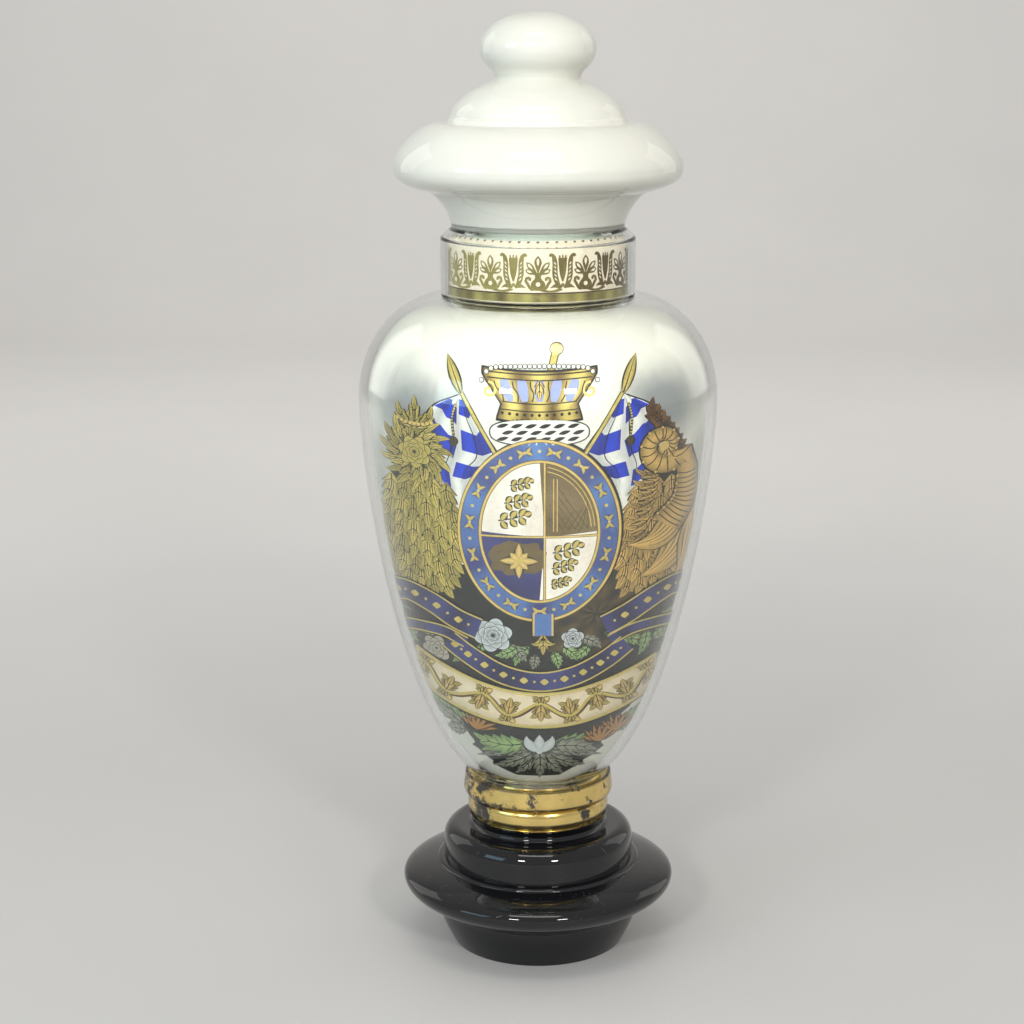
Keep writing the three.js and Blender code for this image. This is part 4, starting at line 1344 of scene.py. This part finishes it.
def draw_palmette(art, x, light, dark, ground):
    """Vase with a round eye, five petals and two volutes."""
    def own(*points):
        return [(x + a, b) for a, b in points]

    left = spline(own((-1.8, 8.6), (-5.0, 11.5), (-4.4, 14.5), (-2.0, 17.5), (-3.0, 21)), 1.2)
    right = left * (-1, 1) + (2 * x, 0)
    art.sheet("gold_leaf", between(left, right, 5), 2, light, dark, 0.7)
    art.dot((x, 13), 1.6, 3, ground, "frieze_ground")
    for tip, width in (((0, 33.0), 2.5), ((-8.0, 28.5), 2.0), ((8.0, 28.5), 2.0), ((-8.8, 23.2), 1.9),
                       ((8.8, 23.2), 1.9)):
        root = (x, 19.5)
        end = (x + tip[0], tip[1])
        art.sheet("gold_leaf", leaf_grid(root, end, 0, width, 0, 12, 4, 1.2)[0], 2.4, light, dark, 0.7)
        inner = (x + 0.45 * tip[0], 19.5 + 0.45 * (tip[1] - 19.5))
        core = (x + 0.88 * tip[0], 19.5 + 0.88 * (tip[1] - 19.5))
        art.sheet("frieze_ground", leaf_grid(inner, core, 0, 0.42 * width, 0, 8, 3, 1.1)[0], 3.2, ground)
    for side in (-1, 1):
        hook = own((side * 2.6, 9.5), (side * 5.2, 9.8), (side * 6.6, 12.6), (side * 8.4, 15.2),
                   (side * 7.6, 17.6), (side * 5.6, 17.2), (side * 5.8, 15.6))
        art.line(hook, 2.0, 2, light, "gold_leaf")


def draw_tulip(art, x, light, dark, ground):
    """Slender bud between two feathered leaves whose tips curl out, over a ball."""
    def own(*points):
        return [(x + a, b) for a, b in points]

    bud_left = spline(own((-0.4, 14.8), (-2.0, 20), (-2.8, 26), (-3.2, 31.5)), 1.4)
    bud_right = bud_left * (-1, 1) + (2 * x, 0)
    art.sheet("gold_leaf", between(bud_left, bud_right, 4), 2, light, dark, 0.7)
    for side in (-1, 0, 1):
        tooth = own((side * 1.9, 31), (side * 2.1, 32.4), (side * 2.4, 33.8 - 0.4 * abs(side)))
        art.line(tooth, 1.3, 2, light, "gold_leaf", taper=True)
    art.dot((x, 12.6), 1.3, 2, light)
    for side in (-1, 1):
        spine = spline(own((side * 1.2, 10.4), (side * 3.6, 13.6), (side * 5.4, 20), (side * 5.4, 27),
                           (side * 6.2, 32), (side * 8.0, 34), (side * 9.0, 32.4)), 1.2)
        width = np.interp(np.linspace(0, 1, len(spine)), [0, 0.25, 0.6, 0.8, 1], [1.8, 3.9, 3.3, 1.6, 1.9])
        art.sheet("gold_leaf", strip(spine, width, 3), 2, light, dark, 0.7)
        for up in (15.5, 18.3, 21.1, 23.9, 26.7):
            slash = own((side * (3.9 + 0.08 * (up - 15)), up), (side * (5.6 + 0.05 * (up - 15)), up + 2.0))
            art.line(slash, 0.8, 3, ground, "frieze_ground", taper=True)
        flare = own((side * 1.4, 11), (side * 5.0, 12.0), (side * 8.6, 10.4))
        art.sheet("gold_leaf", strip(spline(flare), np.array([1.0, 2.4, 3.0, 2.4, 1.2, 0.3]) if
                                     len(spline(flare)) == 6 else 2.0, 3), 2.4, light, dark, 0.7)


def draw_frieze(art, radius, tint):
    """Palmettes and tulips in turn round the neck band, linked by stems, between gold lines."""
    around = 2 * math.pi * radius
    half = around / FRIEZE_PAIRS / 2
    ground = tint.band_cream
    for step in range(2 * FRIEZE_PAIRS):
        x = step * half
        # Share of frieze brown in the gilding, a sine of the angle round the band: none on the left, half at the
        # front, all on the right.
        brown_share = 0.5 + 0.5 * math.sin(x / radius)
        light = np.array(tint.frieze_gold) * (1 - brown_share) + np.array(tint.frieze_brown) * brown_share
        dark = 0.7 * light
        draw = draw_palmette if step % 2 == 0 else draw_tulip
        draw(art, x, light, dark, ground)
        away = 1 if step % 2 == 0 else -1
        stem = [(x + away * half * 0.02, 9.4), (x + away * half * 0.35, 7.9), (x + away * half * 0.72, 8.6),
                (x + away * half * 0.98, 11.6)]
        art.line(stem, 1.3, 2, light, "gold_leaf")
    circle = np.linspace(0, around, 145)
    for up, width, layer, shade in ((38.2, 0.9, 2, tint.frieze_brown), (6.6, 1.0, 3, tint.frieze_brown),
                                    (3.2, 5.6, 2, tint.frieze_gold)):
        path = np.stack([circle, np.full(145, up)], 1)
        patchy = 0.6 + 0.4 * np.sin(circle / 7.0)[:, None] * np.sin(circle / 2.9 + 1)[:, None]
        art.sheet("gold_leaf", strip(path, width, 4), layer, shade, tint.dark_gold, patchy)
    for step in range(60):
        x = step * around / 60
        art.line([(x - 0.5, 41.0), (x, 42.6), (x + 0.7, 44.4)], 2.3, 2, tint.frieze_brown, "gold_leaf",
                 taper=True)


# ---- Operators -----------------------------------------------------------------------------------


def settings(context):
    """Sizes in millimetres, colours as plain triples, and the steps round a turned piece."""
    sizes, colours = context.scene.show_jar_sizes, context.scene.show_jar_colours
    in_mm = {key: getattr(sizes, key) / MM for key in sizes.__annotations__ if key != "turned_steps"}
    tints = SimpleNamespace(**{key: tuple(getattr(colours, key)) for key in colours.__annotations__})
    return in_mm, tints, sizes.turned_steps


class JAR_OT_foot(bpy.types.Operator):
    """Black glass foot"""

    bl_idname = "show_jar.foot"
    bl_label = "Foot"

    def execute(self, context):
        mm, tints, steps = settings(context)
        section = wall(foot_outline(), mm["foot_wall"])
        piece = turned("foot_smooth", section, black_glass(tints.black_glass), steps)
        settle(piece, "jar", "black_glass", "foot")
        return {"FINISHED"}


class JAR_OT_stem_collar(bpy.types.Operator):
    """Glass collar and its gilding"""

    bl_idname = "show_jar.stem_collar"
    bl_label = "Stem Collar"

    def execute(self, context):
        mm, tints, steps = settings(context)
        line = collar_outline()
        glass = turned("stem_collar_glass_smooth", wall(line, mm["collar_wall"]),
                       clear_glass("collar_glass", tints.glass), steps)
        settle(glass, "jar", "clear_glass", "stem_collar_glass")
        leaf = gold_leaf("collar_leaf", tints.leaf, tints.bare, 0.64, 0.12)
        section = bedded_coat(line, mm["collar_wall"], mm["gilding_gap"] + mm["paint"])
        gilding = turned("stem_collar_gilding_smooth", section, leaf, steps)
        settle(gilding, "jar", "gold_leaf", "stem_collar_gilding")
        return {"FINISHED"}


class JAR_OT_bedding(bpy.types.Operator):
    """Plaster finish of the two hidden beds"""

    bl_idname = "show_jar.bedding"
    bl_label = "Bedding"

    def execute(self, context):
        tints = settings(context)[1]
        shade = [0.6 * value for value in tints.plaster]
        plaster = paint("plaster", shade, tints.plaster, 0.6, 0.6, 300.0)[0]
        for node in ("stem_bedding", "neck_band_bedding"):
            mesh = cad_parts[node].data
            mesh.materials.clear()
            mesh.materials.append(plaster)
        return {"FINISHED"}


class JAR_OT_jar_glass(bpy.types.Operator):
    """Clear glass of the jar, from its peg to its neck"""

    bl_idname = "show_jar.jar_glass"
    bl_label = "Jar Glass"

    def execute(self, context):
        mm, tints, steps = settings(context)
        line = outline(underside_outline(), body_outline(), (NECK, band_top), step=4.0)
        piece = turned("jar_glass_smooth", wall(line, mm["jar_wall"]),
                       clear_glass("jar_glass", tints.glass), steps)
        settle(piece, "jar", "clear_glass", "jar_glass")
        return {"FINISHED"}


class JAR_OT_jar_lining(bpy.types.Operator):
    """Cream lining of the jar, airbrushed round the ornament"""

    bl_idname = "show_jar.jar_lining"
    bl_label = "Jar Lining"

    def execute(self, context):
        mm, tints, steps = settings(context)
        line = outline(underside_outline(), body_outline(), step=4.0)
        section = coat(line, mm["jar_wall"] + mm["paint_gap"], mm["paint"])
        material = airbrushed_cream(tints)
        piece = turned("jar_lining_smooth", section, material, steps)
        settle(piece, "jar", "cream_paint", "jar_lining")
        return {"FINISHED"}


def airbrushed_cream(tints):
    """Cream paint with soft grey clouds round the top and the sides of the ornament."""
    shade = [0.86 * value for value in tints.cream]
    material, tree, shader, brushed = paint("cream_lining", shade, tints.cream, 0.75, 0.5, 60.0)
    mask = 0.0
    for x, z, wide, tall, strength in (
        (-84, 430, 46, 40, 0.8), (88, 432, 46, 40, 0.8), (-114, 375, 24, 62, 0.7),
        (118, 378, 24, 62, 0.7), (-100, 300, 32, 54, 0.8), (106, 300, 32, 54, 0.8), (0, 192, 84, 54, 0.5),
    ):
        cloud = use_group(tree, "airbrush")
        cloud.inputs["Center"].default_value = (x * MM, -0.09, z * MM)
        cloud.inputs["Radii"].default_value = (wide * MM, 0.09, tall * MM)
        mask = maths(tree, "MAXIMUM", mask, maths(tree, "MULTIPLY", cloud.outputs["Mask"], strength))
    shaded = blend(tree, mask, brushed.outputs["Color"], rgba(tints.haze))
    tree.links.new(shaded, shader.inputs["Base Color"])
    return material


class JAR_OT_neck_band(bpy.types.Operator):
    """Glass ring round the neck and its painted ground"""

    bl_idname = "show_jar.neck_band"
    bl_label = "Neck Band"

    def execute(self, context):
        mm, tints, steps = settings(context)
        line = band_outline()
        glass = turned("neck_band_glass_smooth", wall(line, mm["band_wall"]),
                       clear_glass("band_glass", tints.glass), steps)
        settle(glass, "jar", "clear_glass", "neck_band_glass")
        section = coat(line, mm["band_wall"] + mm["paint_gap"], mm["paint"])
        shade = [0.8 * value for value in tints.band_cream]
        ground = paint("frieze_ground", shade, tints.band_cream, 0.8, 0.7, 90.0)[0]
        lining = turned("neck_band_lining_smooth", section, ground, steps)
        settle(lining, "jar", "frieze_ground", "neck_band_lining")
        return {"FINISHED"}


class JAR_OT_cover(bpy.types.Operator):
    """Lift-off cover and its white lining"""

    bl_idname = "show_jar.cover"
    bl_label = "Cover"

    def execute(self, context):
        mm, tints, steps = settings(context)
        line = cover_outline()
        glass = turned("cover_glass_smooth", wall(line, mm["cover_wall"]),
                       clear_glass("cover_glass", tints.glass), steps)
        settle(glass, "cover", "clear_glass", "cover_glass")
        section = bedded_coat(line, mm["cover_wall"], mm["paint_gap"] + mm["paint"])
        shade = [0.88 * value for value in tints.white]
        white = paint("white_lining", shade, tints.white, 0.8, 0.5, 50.0)[0]
        lining = turned("cover_lining_smooth", section, white, steps)
        settle(lining, "cover", "white_paint", "cover_lining")
        return {"FINISHED"}


class DrawnOnFront:
    """Shared by the operators that draw on the front of the jar's lining."""

    def execute(self, context):
        mm, tints, _ = settings(context)
        art = Drawing(wrap_front(inset(body_outline(), mm["jar_wall"] + mm["paint_gap"])))
        self.decorate(art, tints)
        art.build(self.bl_idname.split("_OT_")[1], "jar")
        return {"FINISHED"}


class JAR_OT_crest(DrawnOnFront, bpy.types.Operator):
    """Mortar and roll above the medallion"""

    bl_idname = "show_jar.crest"
    bl_label = "Crest"

    def decorate(self, art, tints):
        draw_crest(art, tints)


class JAR_OT_poles(DrawnOnFront, bpy.types.Operator):
    """Spear-headed poles with striped cloths"""

    bl_idname = "show_jar.poles"
    bl_label = "Poles and Cloths"

    def decorate(self, art, tints):
        draw_poles(art, tints)


class JAR_OT_medallion(DrawnOnFront, bpy.types.Operator):
    """Oval medallion of four fields"""

    bl_idname = "show_jar.medallion"
    bl_label = "Medallion"

    def decorate(self, art, tints):
        draw_medallion(art, tints)


class JAR_OT_scrollwork(DrawnOnFront, bpy.types.Operator):
    """Gold plumes to either side of the medallion"""

    bl_idname = "show_jar.scrollwork"
    bl_label = "Scrollwork"

    def decorate(self, art, tints):
        draw_left_side(art, tints)
        draw_right_side(art, tints)


class JAR_OT_ribbons(DrawnOnFront, bpy.types.Operator):
    """Blue ribbons below the medallion"""

    bl_idname = "show_jar.ribbons"
    bl_label = "Ribbons"

    def decorate(self, art, tints):
        draw_ribbons(art, tints)


class JAR_OT_banner(DrawnOnFront, bpy.types.Operator):
    """Cream banner with a running leaf scroll"""

    bl_idname = "show_jar.banner"
    bl_label = "Banner"

    def decorate(self, art, tints):
        draw_banner(art, tints)


class JAR_OT_foliage(DrawnOnFront, bpy.types.Operator):
    """Dark ground, leaves, roses and tufts"""

    bl_idname = "show_jar.foliage"
    bl_label = "Foliage"

    def decorate(self, art, tints):
        draw_ground(art, tints)
        draw_foliage(art, tints)


class JAR_OT_frieze(bpy.types.Operator):
    """Gilded palmettes and tulips round the neck band"""

    bl_idname = "show_jar.frieze"
    bl_label = "Frieze"

    def execute(self, context):
        mm, tints, _ = settings(context)
        line = inset(band_outline(), mm["band_wall"] + mm["paint_gap"])
        art = Drawing(wrap_round(line))
        draw_frieze(art, line[0, 0], tints)
        art.build("frieze", "jar")
        return {"FINISHED"}


def area_light(name, place, target, size, power, tint=(1.0, 1.0, 1.0)):
    """Rectangular lamp that faces a point."""
    lamp = bpy.data.lights.new(name, "AREA")
    lamp.shape = "RECTANGLE"
    lamp.size, lamp.size_y = size
    lamp.energy = power
    lamp.color = tint
    holder = bpy.data.objects.new(name, lamp)
    bpy.context.scene.collection.objects.link(holder)
    holder.location = place
    holder.rotation_euler = (Vector(target) - Vector(place)).to_track_quat("-Z", "Y").to_euler()


class JAR_OT_stage(bpy.types.Operator):
    """Floor, soft lights and camera"""

    bl_idname = "show_jar.stage"
    bl_label = "Stage"

    def execute(self, context):
        scene = context.scene
        stage, tints = scene.show_jar_stage, scene.show_jar_colours
        scene.view_settings.view_transform = "Standard"
        self.floor(tints)
        self.lights(scene)
        view = bpy.data.cameras.new("camera")
        view.sensor_width = 36.0
        view.lens = stage.lens
        view.shift_x = stage.shift
        holder = bpy.data.objects.new("camera", view)
        scene.collection.objects.link(holder)
        back = stage.distance * math.cos(stage.pitch)
        up = stage.aim + stage.distance * math.sin(stage.pitch)
        holder.location = (0.0, -back, up)
        holder.rotation_euler = (math.pi / 2 - stage.pitch, 0.0, 0.0)
        scene.camera = holder
        return {"FINISHED"}

    def floor(self, tints):
        """Floor that sweeps up behind: x across, and a path that is level, then a quarter circle, then
        upright."""
        across = np.linspace(-6.0, 6.0, 5)
        turn = np.linspace(0.0, math.pi / 2, 24)
        y = np.r_[-5.0, 2.0, 3.0 + 1.5 * np.sin(turn), 4.5]
        z = np.r_[0.0, 0.0, 1.5 - 1.5 * np.cos(turn), 5.0]
        verts = np.stack(np.broadcast_arrays(across[None], y[:, None], z[:, None]), 2)
        rows, columns = len(y), len(across)
        i = (np.arange(rows - 1)[:, None] * columns + np.arange(columns - 1)).ravel()
        faces = np.stack([i, i + 1, i + columns + 1, i + columns], 1)
        material, tree, shader = fresh_material("floor")
        grain = noise(tree, object_position(tree), 3.0, 3.0)
        shade = [0.94 * value for value in tints.floor]
        tree.links.new(blend(tree, grain, rgba(shade), rgba(tints.floor)), shader.inputs["Base Color"])
        shader.inputs["Roughness"].default_value = 0.55
        floor = finish_mesh("floor", verts.reshape(-1, 3).tolist(), faces.tolist(), [material])
        floor.data.shade_smooth()

    def lights(self, scene):
        """Soft boxes to the sides and above, and two small lamps beside the camera."""
        world = bpy.data.worlds.new("studio")
        scene.world = world
        world.use_nodes = True
        background = world.node_tree.nodes["Background"]
        background.inputs["Color"].default_value = (1.0, 0.985, 0.97, 1.0)
        background.inputs["Strength"].default_value = 0.5
        middle = (0.0, 0.0, 0.38)
        warm = (1.0, 0.97, 0.93)
        area_light("soft_left", (-2.1, 1.4, 1.2), middle, (1.2, 2.0), 6.0, warm)
        area_light("soft_right", (2.1, 1.5, 1.2), middle, (1.2, 2.0), 5.0, warm)
        area_light("soft_front", (-0.1, -1.0, 3.2), middle, (1.6, 0.6), 12.0, warm)
        area_light("backdrop", (0.0, 1.4, 2.3), (0.0, 4.4, 0.9), (3.0, 0.8), 36.0, warm)
        for side in (-1, 1):
            area_light("lamp", (side * 0.88, -2.3, 1.45), middle, (0.34, 0.2), 15.0, (1.0, 0.98, 0.95))
        area_light("window", (-2.0, -1.4, 1.1), (0.0, 0.0, 0.1), (1.1, 0.9), 7.0, (0.5, 0.8, 1.0))


# ---- Panel and registration ----------------------------------------------------------------------

STEPS = (
    JAR_OT_foot,
    JAR_OT_stem_collar,
    JAR_OT_bedding,
    JAR_OT_jar_glass,
    JAR_OT_jar_lining,
    JAR_OT_foliage,
    JAR_OT_poles,
    JAR_OT_scrollwork,
    JAR_OT_ribbons,
    JAR_OT_banner,
    JAR_OT_medallion,
    JAR_OT_crest,
    JAR_OT_neck_band,
    JAR_OT_frieze,
    JAR_OT_cover,
    JAR_OT_stage,
)


class JAR_PT_panel(bpy.types.Panel):
    """Show jar"""

    bl_idname = "JAR_PT_panel"
    bl_label = "Show Jar"
    bl_space_type = "VIEW_3D"
    bl_region_type = "UI"
    bl_category = "Show Jar"

    def draw(self, context):
        for group in (context.scene.show_jar_sizes, context.scene.show_jar_colours,
                      context.scene.show_jar_stage):
            for key in group.__annotations__:
                self.layout.prop(group, key)
        for step in STEPS:
            self.layout.operator(step.bl_idname)


CLASSES = (JarSizes, JarColours, JarStage, *STEPS, JAR_PT_panel)


def register():
    """Registers the classes and the scene's settings."""
    for cls in CLASSES:
        bpy.utils.register_class(cls)
    bpy.types.Scene.show_jar_sizes = bpy.props.PointerProperty(type=JarSizes)
    bpy.types.Scene.show_jar_colours = bpy.props.PointerProperty(type=JarColours)
    bpy.types.Scene.show_jar_stage = bpy.props.PointerProperty(type=JarStage)


def unregister():
    """Removes the scene's settings and the classes."""
    del bpy.types.Scene.show_jar_stage
    del bpy.types.Scene.show_jar_colours
    del bpy.types.Scene.show_jar_sizes
    for cls in reversed(CLASSES):
        bpy.utils.unregister_class(cls)


def main():
    """Builds every piece in order."""
    register()
    make_groups()
    bpy.ops.show_jar.foot()
    bpy.ops.show_jar.stem_collar()
    bpy.ops.show_jar.bedding()
    bpy.ops.show_jar.jar_glass()
    bpy.ops.show_jar.jar_lining()
    bpy.ops.show_jar.foliage()
    bpy.ops.show_jar.poles()
    bpy.ops.show_jar.scrollwork()
    bpy.ops.show_jar.ribbons()
    bpy.ops.show_jar.banner()
    bpy.ops.show_jar.medallion()
    bpy.ops.show_jar.crest()
    bpy.ops.show_jar.neck_band()
    bpy.ops.show_jar.frieze()
    bpy.ops.show_jar.cover()
    bpy.ops.show_jar.stage()


if __name__ == "__main__":
    main()
